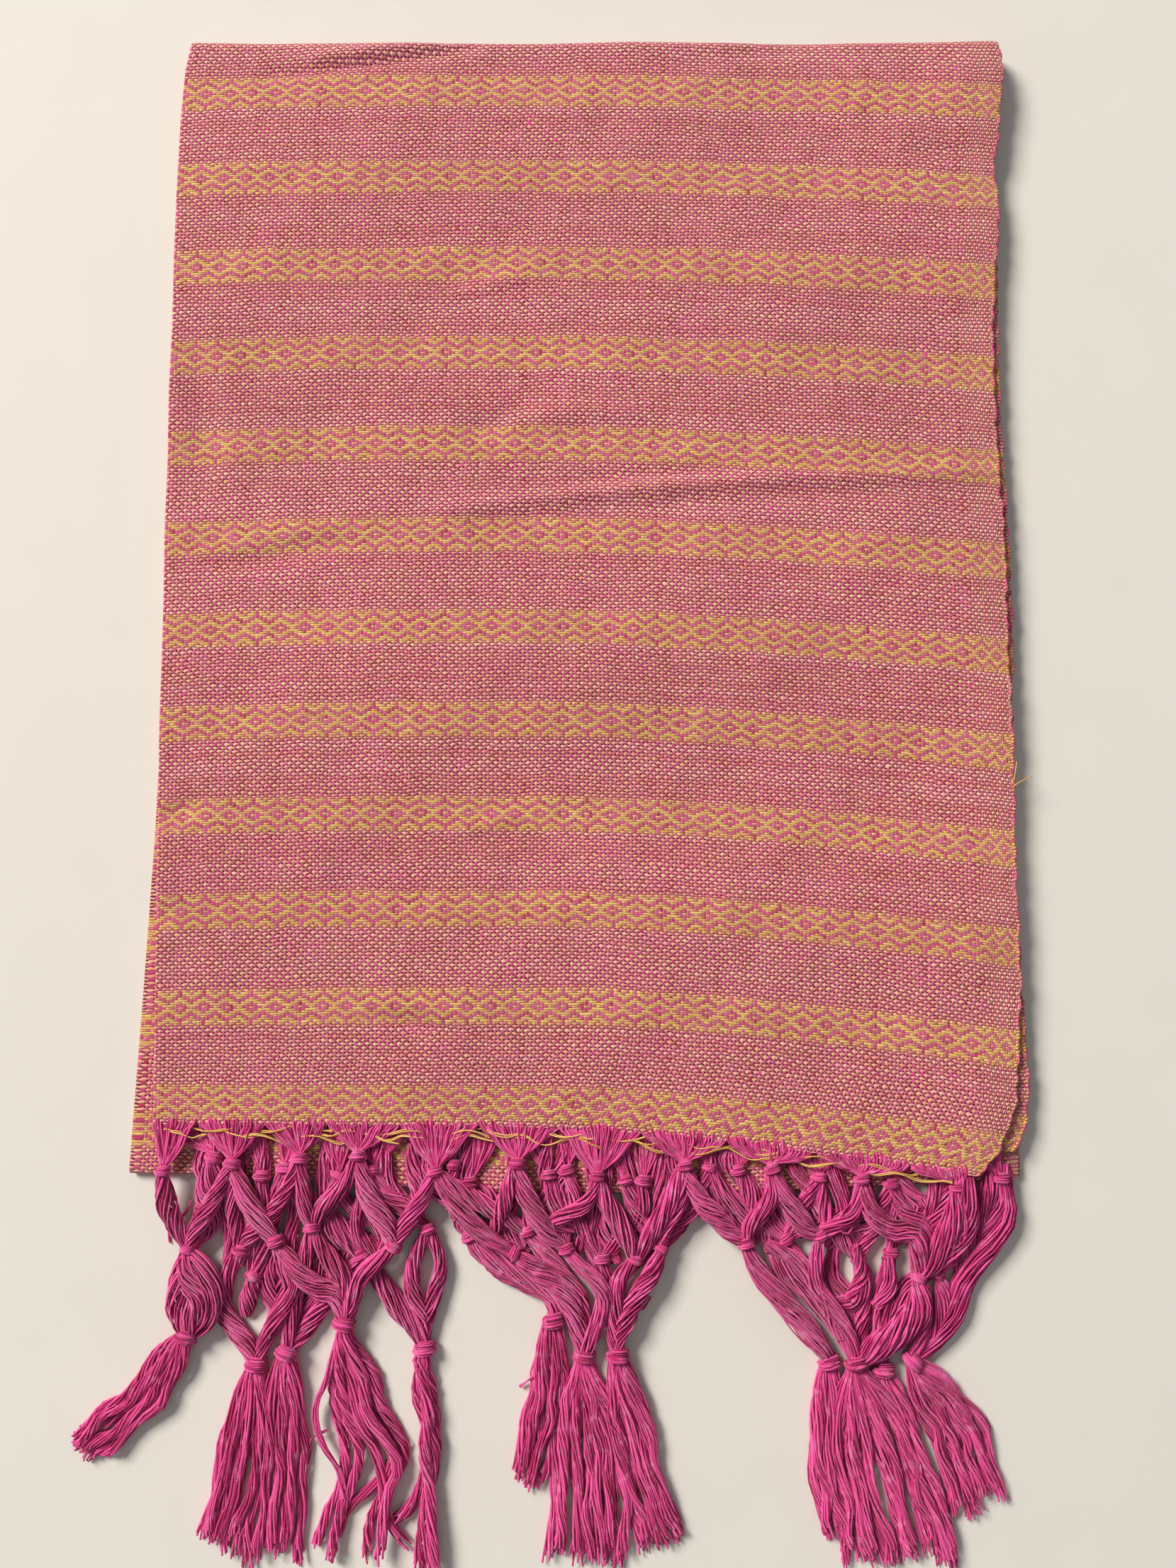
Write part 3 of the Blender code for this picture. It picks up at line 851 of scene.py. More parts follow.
legs = (  # from, to, middle radius, lift, points between
    ("a1", "c1", 3.3, 0.0, ((-149, -174),)),
    ("a2", "c1", 2.8, 0.6, ((-131, -171), (-137, -181))),
    ("a2", "c2", 3.4, 1.0, ((-118, -170), (-112, -180))),
    ("a2", "d1", 2.2, -0.8, ((-124, -174),)),
    ("a3", "c3", 2.6, 0.8, ((-96, -166), (-95, -175))),
    ("a3", "d1", 2.8, -0.4, ((-102, -166), (-108, -176), (-116, -184))),
    ("a4", "c3", 2.6, 0.3, ((-80, -165), (-89, -174))),
    ("a4", "e2", 3.4, 0.8, ((-71, -168), (-64, -180))),
    ("a5", "e2", 2.8, 0.4, ((-50, -171), (-57, -182))),
    ("a5", "e4", 3.0, 1.2, ((-38, -171), (-27, -183))),
    ("a5", "e5", 2.8, 0.2, ((-34, -168), (-21, -176))),
    ("a6", (-22, -183), 2.6, 0.8, ((-17, -169), (-19, -176))),
    ("a6", "e6", 3.2, 1.0, ((-9, -170), (-1, -183))),
    ("a6", "e5", 2.4, -0.4, ((-10, -168), (-8, -176))),
    ("a7", (9, -182), 2.4, 0.8, ((15, -171), (6, -177), (1, -180))),
    ("a7", "e8", 3.2, 0.8, ((23, -174), (30, -186))),
    ("a8", "e8", 2.8, 0.9, ((47, -170), (39, -184))),
    ("a8", "e9", 2.4, 0.2, ((51, -170), (45, -182))),
    ("a8", "f1", 3.2, 0.8, ((58, -170), (68, -181))),
    ("a9", "f1", 2.7, 0.8, ((86, -170), (78, -180))),
    ("a9", "f4", 3.2, 0.8, ((92, -171), (99, -181))),
    ("a10", (103, -185), 2.6, 0.4, ((118, -176), (110, -181))),
    ("a10", "f7", 3.4, 1.2, ((124, -174), (132, -182), (141, -184), (143, -192))),
    ("a11", "f7", 3.6, 0.8, ((157, -177), (152, -188), (148, -195))),
    ("a11", "f8", 2.6, 0.2, ((160, -178), (157, -190))),
    ("b1", "c1", 3.6, 0.0, ((-135, -168), (-133, -180))),
    ("b2", "d1", 2.8, 0.0, ((-114, -175),)),
    ("b3", "d2", 2.8, -0.3, ((-107, -172), (-112, -190))),
    ("b3", (-94, -178), 2.4, 0.0, ((-101, -168),)),
    ("b4", "d3", 3.2, 0.0, ((-86, -172), (-89, -180), (-81, -187))),
    ("b5", "e1", 3.2, 0.0, ((-64, -169), (-56, -175))),
    ("b5", "d3", 2.6, 0.0, ((-73, -170), (-76, -182))),
    ("b6", "e3", 3.0, 0.0, ((-38, -170), (-36, -178))),
    ("b7", (-23, -176), 2.2, 0.0, ((-31, -171), (-27, -174))),
    ("b8", "e6", 2.8, 0.0, ((1, -172), (4, -181))),
    ("b9", (1, -176), 2.4, 0.6, ((9, -168), (9, -174), (5, -177))),
    ("b8", "e7", 2.8, -0.4, ((5, -172), (14, -184))),
    ("b10", "e9", 2.8, 0.0, ((33, -175), (38, -184))),
    ("b11", "e7", 2.8, -0.4, ((35, -176), (27, -187))),
    ("b12", "f3", 3.0, 0.0, ((68, -169), (80, -179))),
    ("b12", "e9", 2.6, -0.4, ((58, -170), (50, -182))),
    ("b13", "f2", 3.0, -0.2, ((78, -169), (82, -180))),
    ("b14", "f5", 2.8, 0.3, ((107, -175), (112, -185))),
    ("b14", "f3", 2.6, -0.3, ((100, -171), (95, -179))),
    ("b15", "f7", 3.0, 0.4, ((137, -175), (146, -182), (146, -192))),
    ("b15", "f5", 2.6, -0.2, ((130, -176), (124, -186))),
    ("b16", "f8", 2.8, 0.3, ((163, -183), (157, -193))),
    ("b15", "f6", 2.4, -0.3, ((133, -178),)),
    ("c1", "t1", 3.8, 0.8, ((-135, -197), (-131, -208), (-134, -217))),
    ("c1", "t1", 3.4, 0.0, ((-143, -198), (-145, -210), (-143, -217))),
    ("c1", "t1", 3.6, 1.6, ((-141, -199), (-136, -208), (-139, -217))),
    ("d1", "t2", 3.2, 0.2, ((-127, -203), (-127, -214), (-119, -225))),
    ("d2", (-119, -216), 2.9, 0.8, ((-117, -208),)),
    ("c2", "t2", 2.8, 0.2, ((-103, -197), (-100, -206), (-108, -220))),
    ("d3", "t3", 3.0, 0.0, ((-80, -201), (-87, -209), (-96, -222))),
    ("c3", "t3", 2.6, -0.6, ((-96, -195), (-99, -208), (-101, -220))),
    ("c2", "t4", 3.4, 1.2, ((-99, -197), (-91, -204), (-83, -207))),
    ("c3", "t4", 3.0, 0.9, ((-87, -192), (-79, -202), (-77, -211))),
    ("e2", "t4", 2.8, 1.6, ((-66, -194), (-73, -200), (-77, -209))),
    ("d3", "t5", 3.2, 0.4, ((-69, -199), (-62, -209), (-53, -220))),
    ("e1", "t5", 2.8, 0.8, ((-53, -195), (-54, -206), (-50, -217))),
    ("e1", "t5", 2.2, 0.6, ((-43, -195), (-45, -207), (-48, -218))),
    ("e3", "t7", 3.6, 0.4, ((-28, -191), (-16, -198), (-4, -204), (6, -211), (11, -222))),
    ("e4", "t7", 3.4, 1.0, ((-7, -197), (2, -203), (9, -213))),
    ("e5", "t7", 2.8, 1.2, ((-2, -192), (6, -201), (12, -212))),
    ("e6", "t7", 2.8, 1.6, ((12, -197), (19, -203), (21, -211), (16, -223))),
    ("e7", "t8", 2.6, 0.0, ((22, -205), (25, -218))),
    ("e8", "t8", 3.0, 0.8, ((27, -202), (25, -212), (25, -222))),
    ("e9", "t8", 3.0, 1.2, ((40, -198), (33, -209), (27, -221))),
    ("e3", "t6", 2.6, 0.2, ((-20, -199), (-4, -206), (1, -211))),
    ("f1", "t9", 3.6, 0.8, ((80, -197), (87, -206), (97, -217), (105, -227))),
    ("f2", "t10", 3.2, 0.6, ((92, -200), (101, -208), (112, -220))),
    ("f3", "t10", 2.6, 0.0, ((99, -197), (107, -210), (115, -223))),
    ("f4", "t10", 2.4, 1.2, ((103, -193), (103, -203), (110, -213), (116, -223))),
    ("f5", (112, -211), 3.2, 0.8, ((122, -202), (118, -210))),
    ("f5", "t10", 2.6, 0.0, ((122, -205), (121, -219))),
    ("f6", "t11", 3.2, 0.2, ((131, -203), (129, -218))),
    ("f7", "t10", 4.4, 1.4, ((143, -211), (136, -220), (126, -227))),
    ("f8", "t12", 2.8, 0.2, ((153, -209), (148, -221))),
    ("f7", "t12", 2.4, 0.0, ((146, -212), (143, -223))),
    ("b17", "t12", 3.6, 0.4, ((179, -176), (174, -187), (166, -196), (160, -206), (157, -216), (148, -226))),
)


def layerOf(name):
    return "upper" if name in upperKnots else "lower"


def bedHeight(layer, y):
    spots, heights = zip(*bed[layer])
    return np.interp(y, spots, heights)


def knotHeight(name, lift=0.0):
    return bedHeight(layerOf(name), knots[name][1]) + lift


def legPoints(start, stop, lift, between):
    layer = layerOf(start)
    points = [(*knots[start], knotHeight(start))]
    points += [(x, y, bedHeight(layer, y) + lift) for x, y in between]
    if isinstance(stop, str):
        points.append((*knots[stop], knotHeight(stop)))
    else:
        points.append((*stop, max(1.0, bedHeight(layer, stop[1]) + lift - hanks["looseDrop"])))
    return points


knotShape = {  # a short coil round the hanks, in shares of its size
    "points": 15, "round": 1.45, "climb": 2.2, "around": 2.2, "depth": 1.8, "deepest": 2.3, "girth": 1.05,
    "sizes": (0.94, 1.16), "yarns": 11, "tasselSize": 1.5, "tasselYarns": 15,
}


def knotLoop(x, y, z, facing, size):
    shape = knotShape
    points = []
    for share in np.linspace(0, 1, shape["points"]):
        turned = 2 * math.pi * (share * shape["round"] - 0.1)
        climb = (share - 0.5) * shape["climb"] * size
        around = shape["around"] * size * math.cos(turned)
        points.append((
            x + around * math.cos(facing) - climb * math.sin(facing),
            y + around * math.sin(facing) + climb * math.cos(facing),
            z + min(shape["depth"] * size, shape["deepest"]) * math.sin(turned),
        ))
    return points


fillers = (  # hanks that lie under and between the others: fringe, radius, points
    ("lower", 3.2, ((-132, -156), (-130, -162), (-135, -173), (-139, -183))),
    ("lower", 2.8, ((-122, -160), (-126, -175), (-123, -182), (-122, -191))),
    ("lower", 2.6, ((-113, -160), (-115, -181), (-116, -193), (-116, -201))),
    ("lower", 2.8, ((-100, -158), (-110, -175), (-114, -183), (-120, -191))),
    ("lower", 3.0, ((-108, -191), (-102, -199), (-105, -209), (-110, -222))),
    ("lower", 3.4, ((-95, -170), (-82, -183), (-73, -189), (-66, -194))),
    ("lower", 2.6, ((-87, -158), (-82, -171), (-75, -177), (-72, -182))),
    ("lower", 2.6, ((-65, -156), (-63, -165), (-57, -174), (-50, -182))),
    ("lower", 3.0, ((-77, -191), (-83, -198), (-87, -208), (-93, -216))),
    ("lower", 2.6, ((-33, -153), (-32, -165), (-25, -170), (-18, -178))),
    ("lower", 2.8, ((-3, -153), (-1, -167), (-4, -176), (-14, -184))),
    ("lower", 2.4, ((6, -156), (7, -166), (3, -174), (-3, -182))),
    ("lower", 3.0, ((-48, -163), (-33, -179), (-18, -188), (-9, -193))),
    ("lower", 3.0, ((-100, -184), (-108, -197), (-110, -206), (-108, -215))),
    ("lower", 3.0, ((8, -176), (16, -190), (19, -199), (22, -207))),
    ("lower", 2.8, ((5, -158), (3, -168), (8, -175), (14, -184))),
    ("lower", 2.8, ((22, -160), (18, -176), (12, -188), (8, -194))),
    ("lower", 2.8, ((29, -158), (32, -173), (37, -182), (34, -192))),
    ("lower", 2.8, ((43, -162), (42, -181), (37, -191), (30, -200))),
    ("lower", 3.0, ((63, -158), (67, -173), (75, -184), (80, -190))),
    ("lower", 2.8, ((69, -157), (80, -168), (85, -178), (90, -188))),
    ("lower", 2.6, ((96, -160), (103, -170), (107, -180), (112, -190))),
    ("lower", 2.8, ((113, -176), (105, -182), (93, -184), (84, -186))),
    ("lower", 2.8, ((134, -157), (140, -168), (145, -174), (137, -182))),
    ("lower", 3.0, ((153, -160), (149, -173), (143, -182), (134, -188))),
    ("upper", 3.4, ((161, -166), (163, -180), (155, -192), (149, -199))),
    ("lower", 3.4, ((173, -164), (168, -177), (164, -188), (159, -199))),
    ("lower", 3.2, ((178, -166), (176, -177), (165, -193), (159, -208), (155, -219), (144, -227))),
    ("upper", 2.6, ((118, -189), (121, -200), (116, -210))),
    ("upper", 2.6, ((131, -193), (132, -204), (126, -212))),
    ("lower", 3.4, ((148, -201), (140, -206), (132, -219), (123, -228))),
    ("upper", 3.0, ((84, -188), (99, -197), (106, -209), (113, -224))),
    ("lower", 3.0, ((107, -181), (118, -182), (131, -181), (141, -186))),
    ("lower", 3.0, ((112, -190), (110, -201), (117, -212), (121, -224))),
    ("lower", 2.6, ((-137, -160), (-128, -175), (-125, -187), (-127, -200))),
    ("lower", 2.6, ((-125, -162), (-125, -175), (-118, -186), (-121, -197))),
    ("lower", 2.6, ((-103, -162), (-100, -175), (-102, -187), (-100, -198))),
    ("lower", 2.8, ((-88, -159), (-90, -173), (-84, -184), (-86, -195))),
    ("lower", 2.6, ((-67, -160), (-71, -175), (-65, -186), (-67, -193))),
    ("lower", 2.6, ((-54, -158), (-52, -171), (-58, -180))),
    ("lower", 2.6, ((48, -158), (54, -168), (60, -176), (70, -184))),
    ("lower", 2.6, ((88, -158), (86, -168), (90, -178), (96, -186))),
    ("lower", 2.8, ((122, -160), (124, -172), (118, -181), (124, -190))),
    ("lower", 3.0, ((110, -160), (114, -171), (115, -180), (108, -190))),
    ("lower", 3.0, ((160, -162), (153, -174), (147, -183), (150, -194))),
    ("lower", 2.8, ((17, -162), (22, -174), (21, -184), (26, -196))),
    ("lower", 2.8, ((-14, -158), (-15, -173), (-18, -182), (-10, -190))),
    ("lower", 2.8, ((-90, -184), (-91, -195), (-91, -206), (-97, -216))),
)

hanks = {
    "fullness": 1.24,
    "atKnot": 2.0,
    "yarnsPerRadius": 8.0,
    "turns": (0.3, 1.0),
    "looseEnd": 0.7,  # share of its radius that a hank keeps where it ends loose
    "looseDrop": 2.4,
    "underYarns": 0.8,
    "underTurns": 1.2,
    "underLift": -0.9,
    "tuckFrom": -167.0,  # from here up, a hank that lies under the others runs on under the cloth
    "tuck": (8.0, 4.6),
}

legGuides = {"upper": Guides(), "lower": Guides()}
knotGuides = {"upper": Guides(), "lower": Guides()}
rng = np.random.default_rng(11)
headings = {name: [] for name in knots}
for start, stop, radius, lift, between in legs:
    points = legPoints(start, stop, lift, between)
    loose = not isinstance(stop, str)
    full = radius * hanks["fullness"]
    end = full * hanks["looseEnd"] if loose else hanks["atKnot"]
    yarns = int(round(full * hanks["yarnsPerRadius"]))
    turns = float(rng.choice((-1, 1)) * rng.uniform(*hanks["turns"]))
    radii = (hanks["atKnot"], full * 0.92, full, full * 0.95, end)
    legGuides[layerOf(start)].add(points, radii, yarns, turns)
    headings[start].append(np.subtract(points[1][:2], points[0][:2]))
    if not loose:
        headings[stop].append(np.subtract(points[-1][:2], points[-2][:2]))
for layer, radius, between in fillers:
    lift = 0.0 if layer == "upper" else hanks["underLift"]
    points = [(x, y, bedHeight(layer, y) + lift) for x, y in between]
    if points[0][1] > hanks["tuckFrom"]:
        back, height = hanks["tuck"]
        points.insert(0, (points[0][0], points[0][1] + back, height))
    full = radius * hanks["fullness"]
    radii = (hanks["atKnot"], full, full * 0.85, full, hanks["atKnot"])
    yarns = int(round(full * hanks["yarnsPerRadius"] * hanks["underYarns"]))
    turns = float(rng.uniform(-hanks["underTurns"], hanks["underTurns"]))
    legGuides[layer].add(points, radii, yarns, turns)
for name, (x, y) in knots.items():
    ahead = np.sum([h / np.hypot(*h) for h in headings[name]], axis=0) if headings[name] else (0, -1)
    facing = math.atan2(ahead[1], ahead[0]) + math.pi / 2 + float(rng.uniform(-0.25, 0.25))
    overTassel = name[0] == "t"
    size = knotShape["tasselSize"] if overTassel else float(rng.uniform(*knotShape["sizes"]))
    girth = size * knotShape["girth"]
    loop = knotLoop(x, y, knotHeight(name, 0.2), facing, size)
    yarns = knotShape["tasselYarns" if overTassel else "yarns"]
    knotGuides[layerOf(name)].add(loop, (girth * 0.9, girth, girth, girth * 0.9), yarns, 0.3)


fanShape = {  # the warp ends run from the last picks down to the nearest knot
    "upper": ("a", topShape, 8.9), "lower": ("b", secondShape, 6.3),  # row of knots, cloth, height
    "passedBy": ("b16",),
    "strays": 1.5,
    "overPicks": 3.2,
    "yarns": 3,
}


def fanGuides(layer):
    row, cloth, top = fanShape[layer]
    guides = Guides()
    share = np.arange(0.5, foldedWidth - 3, threads["endPitch"]) / foldedWidth
    left = edgeAt(cloth["edges"], wovenEndY, 1)
    right = edgeAt(cloth["edges"], wovenEndY, 2)
    ends = left + share * (right - left)
    starts = wovenEndY - slidBy(share, wovenEndY, 0.0, cloth["slideShare"])
    names = sorted((name for name in knots if name[0] == row and name not in fanShape["passedBy"]),
                   key=lambda name: knots[name][0])
    centres = np.array([knots[name][0] for name in names])
    for x, y in zip(ends, starts):
        shift = rng.uniform(-fanShape["strays"], fanShape["strays"])
        nearest = names[np.argmin(np.abs(centres - (x + shift)))]
        knotX, knotY = knots[nearest]
        z = knotHeight(nearest)
        bowX = knotX + (x - knotX) * 0.55 + rng.uniform(-0.5, 0.5)
        bowY = (y + knotY) / 2 + rng.uniform(-0.5, 0.5)
        arch = rng.uniform(-0.3, 0.6)
        inside = rng.uniform(0.0, fanShape["overPicks"])
        guides.add((
            (x, y + inside + 1.0, top - 0.7), (x, y + inside, top + 0.45),
            (x, y - 0.2, top + 0.3), (x + (knotX - x) * 0.16, y - 2.0, top + arch),
            (bowX, bowY, (top + z) / 2 + arch),
            (knotX + (x - knotX) * 0.12, knotY + 2.4, z), (knotX, knotY, z),
        ), (0.35, 0.6, 0.6), fanShape["yarns"], 0.6)
    return guides


fans = {layer: fanGuides(layer) for layer in ("upper", "lower")}

fringe = {}
for layer in ("upper", "lower"):
    fringe[layer + "Legs"] = legGuides[layer].yarns(
        layer + "Legs", {"Steps": 15, "Yarn radius": 0.00043, "Flatness": 0.66, "Wave": 0.0022,
                         "Sides": 3, "Seed": 1, "Yarn": magentaYarn})
    fringe[layer + "Knots"] = knotGuides[layer].yarns(
        layer + "Knots", {"Steps": 17, "Yarn radius": 0.00036, "Flatness": 1.0, "Wave": 0.0005,
                          "Seed": 2, "Yarn": magentaYarn})
    fringe[layer + "Fans"] = fans[layer].yarns(
        layer + "Fans", {"Steps": 9, "Yarn radius": 0.00035, "Flatness": 0.9, "Wave": 0.0013,
                         "Seed": 3, "Yarn": magentaYarn})
print("nets made")

tasselRows = (  # knot, tip x, tip y, tip width, locks, sideways bow, turns, flare at the cut ends
    ("t1", -183, -268, 17.0, 6, 4.0, 0.8, 2.4),
    ("t2", -127, -305, 20.0, 7, 2.0, 0.5, 2.4),
    ("t3", -106, -311, 22.0, 7, 0.0, 0.5, 2.4),
    ("t4", -73, -305, 38.0, 0, 0.0, 1.2, 1.9),
    ("t5", -45, -311, 10.0, 0, 0.0, 1.6, 2.0),
    ("t6", -11, -284, 13.0, 5, 3.0, 0.6, 2.2),
    ("t7", 15, -311, 38.0, 12, 1.0, 0.6, 2.4),
    ("t8", 44, -303, 20.0, 8, -2.0, 0.6, 2.4),
    ("t9", 111, -303, 12.0, 5, -4.0, 0.6, 2.2),
    ("t10", 131, -310, 40.0, 14, -1.0, 0.6, 2.4),
    ("t11", 155, -312, 10.0, 4, 1.0, 0.8, 2.0),
    ("t12", 166, -290, 27.0, 9, 4.0, 0.6, 2.4),
)

lockPaths = {  # the tassels whose locks part and cross: girth, points
    "t4": (
        (1.0, ((-82, -226), (-84, -237), (-83, -251), (-79, -266), (-80, -278), (-85, -288), (-90, -302))),
        (1.1, ((-81, -226), (-81, -239), (-78, -253), (-73, -264), (-75, -276), (-80, -288), (-84, -306))),
        (1.1, ((-78, -226), (-73, -237), (-70, -251), (-62, -262), (-58, -272), (-62, -281), (-65, -306))),
        (1.1, ((-77, -226), (-69, -236), (-66, -248), (-58, -261), (-56, -269), (-63, -280), (-69, -292),
               (-70, -307))),
        (1.0, ((-80, -226), (-76, -241), (-73, -255), (-67, -266), (-64, -278), (-62, -290), (-53, -302))),
        (0.55, ((-83, -227), (-86, -238), (-90, -248), (-90, -256), (-86, -264), (-81, -272), (-78, -284))),
        (1.0, ((-79, -226), (-72, -246), (-64, -259), (-61, -271), (-69, -280), (-78, -288), (-82, -300))),
    ),
    "t5": (
        (1.2, ((-50, -232), (-47, -241), (-45, -251), (-45, -262), (-48, -274), (-51, -283), (-56, -289),
               (-62, -293))),
        (1.3, ((-49, -232), (-51, -241), (-49, -251), (-45, -260), (-44, -268), (-46, -278), (-48, -291),
               (-50, -312))),
        (1.2, ((-51, -232), (-48, -243), (-47, -255), (-48, -266), (-46, -278), (-45, -292), (-43, -313))),
    ),
}


tasselShape = {
    "yarns": 15,  # in each lock
    "bed": 1.5,  # height of the middle of a lock on the surface
    "over": 1.7,  # and how much higher the next one lies
    "settled": 0.35,  # share of the length by which a lock has come down from its knot
    "radii": (1.5, 2.0, 2.2, 2.0, 1.7, 1.8),
    "alongLock": (0.0, 0.06, 0.18, 0.32, 0.46, 0.6, 0.74, 0.88, 1.0),
}


def tasselGuides(row):
    shape = tasselShape
    knot, tipX, tipY, tipWidth, locks, bow, turns, flare = row
    guides = Guides()
    start = np.array(knots[knot], float)
    run = np.array((tipX, tipY)) - start
    length = np.hypot(*run)
    ahead = run / length
    side = np.array((-ahead[1], ahead[0]))
    startZ = knotHeight(knot)
    radii = (*shape["radii"], flare)

    def settledAt(share, bedZ):
        return startZ + (bedZ - startZ) * min(1.0, share / shape["settled"])

    for i, (girth, spots) in enumerate(lockPaths.get(knot, ())):
        points = [(*start, startZ)]
        for j, (x, y) in enumerate(spots):
            z = settledAt((j + 1) / len(spots), shape["bed"] + 1.5 * (i % 3))
            points.append((x, y, z + 0.8 * math.sin(2.2 * j + i)))
        yarns = int(shape["yarns"] * girth)
        guides.add(points, [girth * radius for radius in radii], yarns, turns * rng.uniform(0.8, 2.4))
    halfWidths = (1.6, 3.0, 2.4 + tipWidth * 0.24, 1.4 + tipWidth * 0.36, tipWidth * 0.44)
    for i in range(locks):
        spread = ((i + 0.5) / locks * 2 - 1) if locks > 1 else 0.0
        spread += rng.uniform(-0.1, 0.1)
        over = shape["over"] if i % 2 else 0.0
        reach = 1 - rng.uniform(0.0, 0.09) - (0.03 if over else 0.0)
        points = []
        for share in shape["alongLock"]:
            width = np.interp(share, (0, 0.06, 0.25, 0.6, 1.0), halfWidths)
            off = spread * width + bow * math.sin(math.pi * share)
            off += rng.uniform(-1.6, 1.6) * min(1, share * 3)
            spot = start + ahead * length * reach * share + side * off
            z = settledAt(share, shape["bed"] + over) + rng.uniform(-0.3, 0.3)
            points.append((spot[0], spot[1], z))
        guides.add(points, radii, shape["yarns"], turns * rng.uniform(1.0, 2.6))
    return guides


strays = (  # single ends that have come loose: yarns, points with heights
    (2, ((-141, -172, 4.0), (-144, -178, 2.4), (-150, -183, 1.0), (-150, -189, 0.6))),
    (2, ((0, -234, 3.2), (-6, -238, 2.6), (-12, -243, 1.4))),
    (3, ((117, -172, 8.0), (113, -176, 8.4), (112, -181, 8.0), (115, -184, 7.0), (118, -180, 7.4),
         (116, -175, 7.6))),
    (2, ((31, -215, 3.6), (36, -213, 3.0), (39, -209, 2.0))),
    (2, ((-86, -258, 3.0), (-92, -262, 2.0), (-94, -269, 0.8))),
)
strayEnds = Guides()
for yarns, points in strays:
    strayEnds.add(points, (0.3, 0.4), yarns, 1.0)
strayYarns = strayEnds.yarns("strayYarns", {
    "Steps": 14, "Yarn radius": 0.0003, "Flatness": 1.0, "Wave": 0.0008, "Seed": 4, "Yarn": magentaYarn})

tassels = []
for number, row in enumerate(tasselRows, 1):
    made = tasselGuides(row).yarns("tassel%02d" % number, {
        "Steps": 18, "Yarn radius": 0.00038, "Flatness": 0.8, "Wave": 0.0024, "Trim": 0.1,
        "Seed": 10 + number, "Yarn": magentaYarn})
    tassels.append(made)
print("tassels made")

looseWefts = {  # weft yarns that have slipped off the woven end: from, to, how far below it, sag
    "rows": (
        (0.01, 0.13, 2.2, 3.0), (0.03, 0.22, 1.0, 1.6), (0.09, 0.30, 3.4, 3.4), (0.19, 0.41, 1.6, 2.6),
        (0.28, 0.46, 3.6, 2.4), (0.37, 0.60, 1.2, 2.2), (0.44, 0.64, 3.2, 3.6), (0.52, 0.76, 1.6, 2.0),
        (0.63, 0.84, 2.8, 3.0), (0.74, 0.95, 1.4, 2.4), (0.80, 0.97, 3.6, 2.2),
    ),
    "yarns": 2,
    "whiskers": (
        ((184, -11, 8.6), (186, -6, 9.4), (187.5, 0.5, 9.0)),
        ((184, -11.5, 8.4), (188, -8, 9.6), (194, -5, 8.6)),
    ),
}


def weftGuides():
    guides = Guides()
    left = edgeAt("top", wovenEndY, 1)
    right = edgeAt("top", wovenEndY, 2)
    for first, last, below, sag in looseWefts["rows"]:
        points = []
        phase = rng.uniform(0, 6)
        for share in np.linspace(first, last, 16):
            y = wovenEndY - slidBy(share, wovenEndY) - below - sag * math.sin(share * 46 + phase) ** 2
            z = 9.0 + 0.95 * math.sin(share * 83 + phase) - 0.12 * below
            points.append((left + share * (right - left), y + rng.uniform(-0.5, 0.5), z))
        guides.add(points, (0.3, 0.45, 0.3), looseWefts["yarns"], 2.0)
    for points in looseWefts["whiskers"]:
        guides.add(points, (0.05, 0.1), 1)
    return guides


looseWeft = weftGuides().yarns("looseWeft", {
    "Steps": 48, "Yarn radius": 0.00026, "Flatness": 1.0, "Wave": 0.0009, "Seed": 5, "Yarn": weftYarn})


selvedges = {  # each pick turns round the edge as a small loop, over a thick outer end
    "panels": (("top", 7.2, 9.0, 0.0, 1.0), ("second", 4.6, 6.4, 3.0, 0.5)),
    "loop": ((-1.2, -0.05, 0.28), (-0.5, 0.1, 0.3), (-0.08, 0.3, 0.0), (-0.1, 0.6, -0.5), (-0.7, 0.9, -0.7)),
    "unevenness": 0.14,
    "cordStep": 2.1,
    "cordWander": 0.24,
}


def selvedgeGuides():
    loops = {"plain": Guides(), "band": Guides(), "cord": Guides()}
    for edgeName, base, z, shift, amount in selvedges["panels"]:
        steps = np.arange(wovenEndY + 0.6, foldCentreY, selvedges["cordStep"])
        points = [(edgeAt(edgeName, y, 2) + scallop(1.0, y + base) - 0.12,
                   y - slidBy(1.0, y, 0.0, amount), z - 0.1) for y in steps]
        points = np.array(points) + rng.uniform(-1, 1, (len(steps), 3)) * selvedges["cordWander"]
        loops["cord"].add(raised(points).tolist(), (0.3, 0.3), 2, len(steps) * 0.3)
        y = wovenEndY + 0.6
        while y < foldCentreY:
            place = threadPlace(np.array([foldedWidth]), np.array([y]), 1.0, shift)[0, 1]
            kind = "band" if place % threads["repeatPicks"] < threads["bandPicks"] else "plain"
            right = edgeAt(edgeName, y, 2) + scallop(1.0, y + base)
            spots = np.array(selvedges["loop"]) + (right, y - slidBy(1.0, y, 0.0, amount), z)
            spots[:, 0] += rng.uniform(-1, 1) * selvedges["unevenness"]
            loops[kind].add(raised(spots).tolist(), (0.05, 0.05), 1)
            y += threads["bandPitch"] * 1.35 if kind == "band" else threads["plainPitch"]
    return loops


selvedge = {}
for kind, guides in selvedgeGuides().items():
    yarn = {"plain": peachYarn, "band": weftYarn, "cord": magentaYarn}[kind]
    selvedge[kind] = guides.yarns(kind + "Selvedge", {
        "Steps": 700 if kind == "cord" else 7, "Yarn radius": 0.00038, "Flatness": 1.0, "Wave": 0.0002,
        "Seed": 6, "Yarn": yarn})
print("edges made")

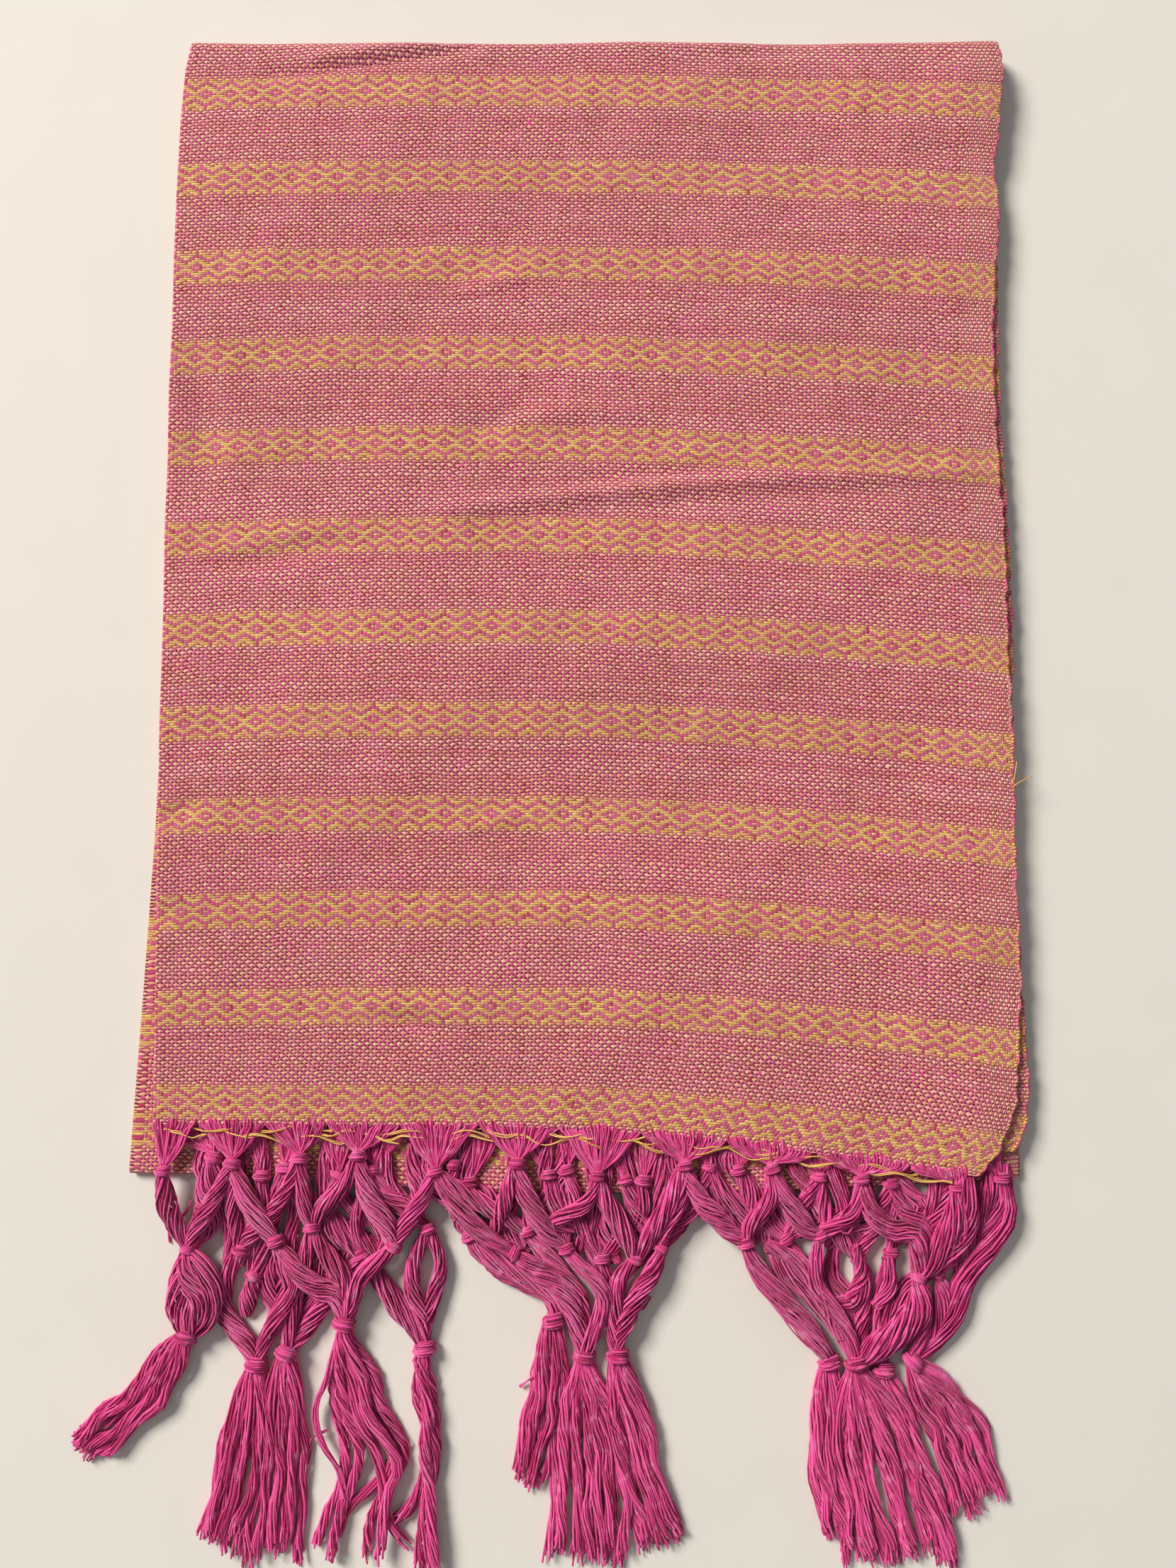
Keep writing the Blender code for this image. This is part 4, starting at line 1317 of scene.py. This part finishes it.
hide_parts("top_panel")
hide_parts("second_panel")
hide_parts("bottom_panels")
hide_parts("upper_fringe_net")
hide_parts("lower_fringe_net")
for number, tassel in enumerate(tassels, 1):
    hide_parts("tassel_%02d" % number)
for piece in (topPanel, secondPanel, bottomPanels):
    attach(piece, "root")
for piece in (*fringe.values(), *tassels, strayYarns, looseWeft, *selvedge.values()):
    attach(piece, "root")
upperFringe = [fringe["upperLegs"], fringe["upperKnots"], fringe["upperFans"], strayYarns, looseWeft,
               *selvedge.values()]
print("pieces placed")


# The floor, the light and the camera

studio = {
    "floor": sRGB(226, 220, 210),
    "floorSize": 6.0,
    "keyPlace": (-5.0, 4.0, 4.64),
    "keySize": 2.7,
    "keyPower": 902.0,
    "fillStrength": 0.27,
    "fillColour": (0.93, 0.96, 1.0, 1.0),
    "keyColour": (1.0, 0.97, 0.93),
    "below": 0.00005,  # the floor lies this far under the cloth
}

camera = {"aside": 14.6, "along": -58.5, "height": 480.0, "tilt": 6.05, "lens": 27.03}


def makeStudio():
    half = studio["floorSize"] / 2
    corners = np.array([(-half, -half, 0), (half, -half, 0), (half, half, 0), (-half, half, 0)])
    corners[:, 2] = -studio["below"]
    floorMaterial, bench, shader = newMaterial("floor", {"Roughness": 0.7, "Specular IOR Level": 0.2})
    place = bench.value("ShaderNodeTexCoord", {}, {}, "Object")
    grain = bench.noise(place, 30.0, 4.0)
    tone = bench.mixed(grain, studio["floor"], [part * 0.96 for part in studio["floor"][:3]] + [1.0])
    floorMaterial.node_tree.links.new(tone.socket, shader.inputs["Base Color"])
    mesh = bpy.data.meshes.new("floor")
    mesh.from_pydata(corners.tolist(), [], [(0, 1, 2, 3)])
    mesh.materials.append(floorMaterial)
    floor = bpy.data.objects.new("floor", mesh)
    bpy.context.scene.collection.objects.link(floor)

    light = bpy.data.lights.new("key", "AREA")
    light.energy = studio["keyPower"]
    light.size = studio["keySize"]
    light.color = studio["keyColour"]
    key = bpy.data.objects.new("key", light)
    key.location = studio["keyPlace"]
    aim = np.array(studio["keyPlace"])
    key.rotation_euler = (math.atan2(math.hypot(aim[0], aim[1]), aim[2]), 0.0,
                          math.atan2(aim[1], aim[0]) + math.pi / 2)
    bpy.context.scene.collection.objects.link(key)

    world = bpy.data.worlds.new("studio")
    world.use_nodes = True
    background = world.node_tree.nodes["Background"]
    background.inputs["Color"].default_value = studio["fillColour"]
    background.inputs["Strength"].default_value = studio["fillStrength"]
    bpy.context.scene.world = world
    bpy.context.scene.view_settings.view_transform = "Standard"


def makeCamera():
    data = bpy.data.cameras.new("camera")
    data.lens = camera["lens"]
    data.clip_start = 0.01
    made = bpy.data.objects.new("camera", data)
    made.location = (camera["aside"] * mm, camera["along"] * mm, camera["height"] * mm)
    made.rotation_euler = (math.radians(camera["tilt"]), 0.0, 0.0)
    bpy.context.scene.collection.objects.link(made)
    bpy.context.scene.camera = made


makeStudio()
makeCamera()
print("studio made")

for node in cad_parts.values():
    if not node.data.materials:
        node.data.materials.append(woven)
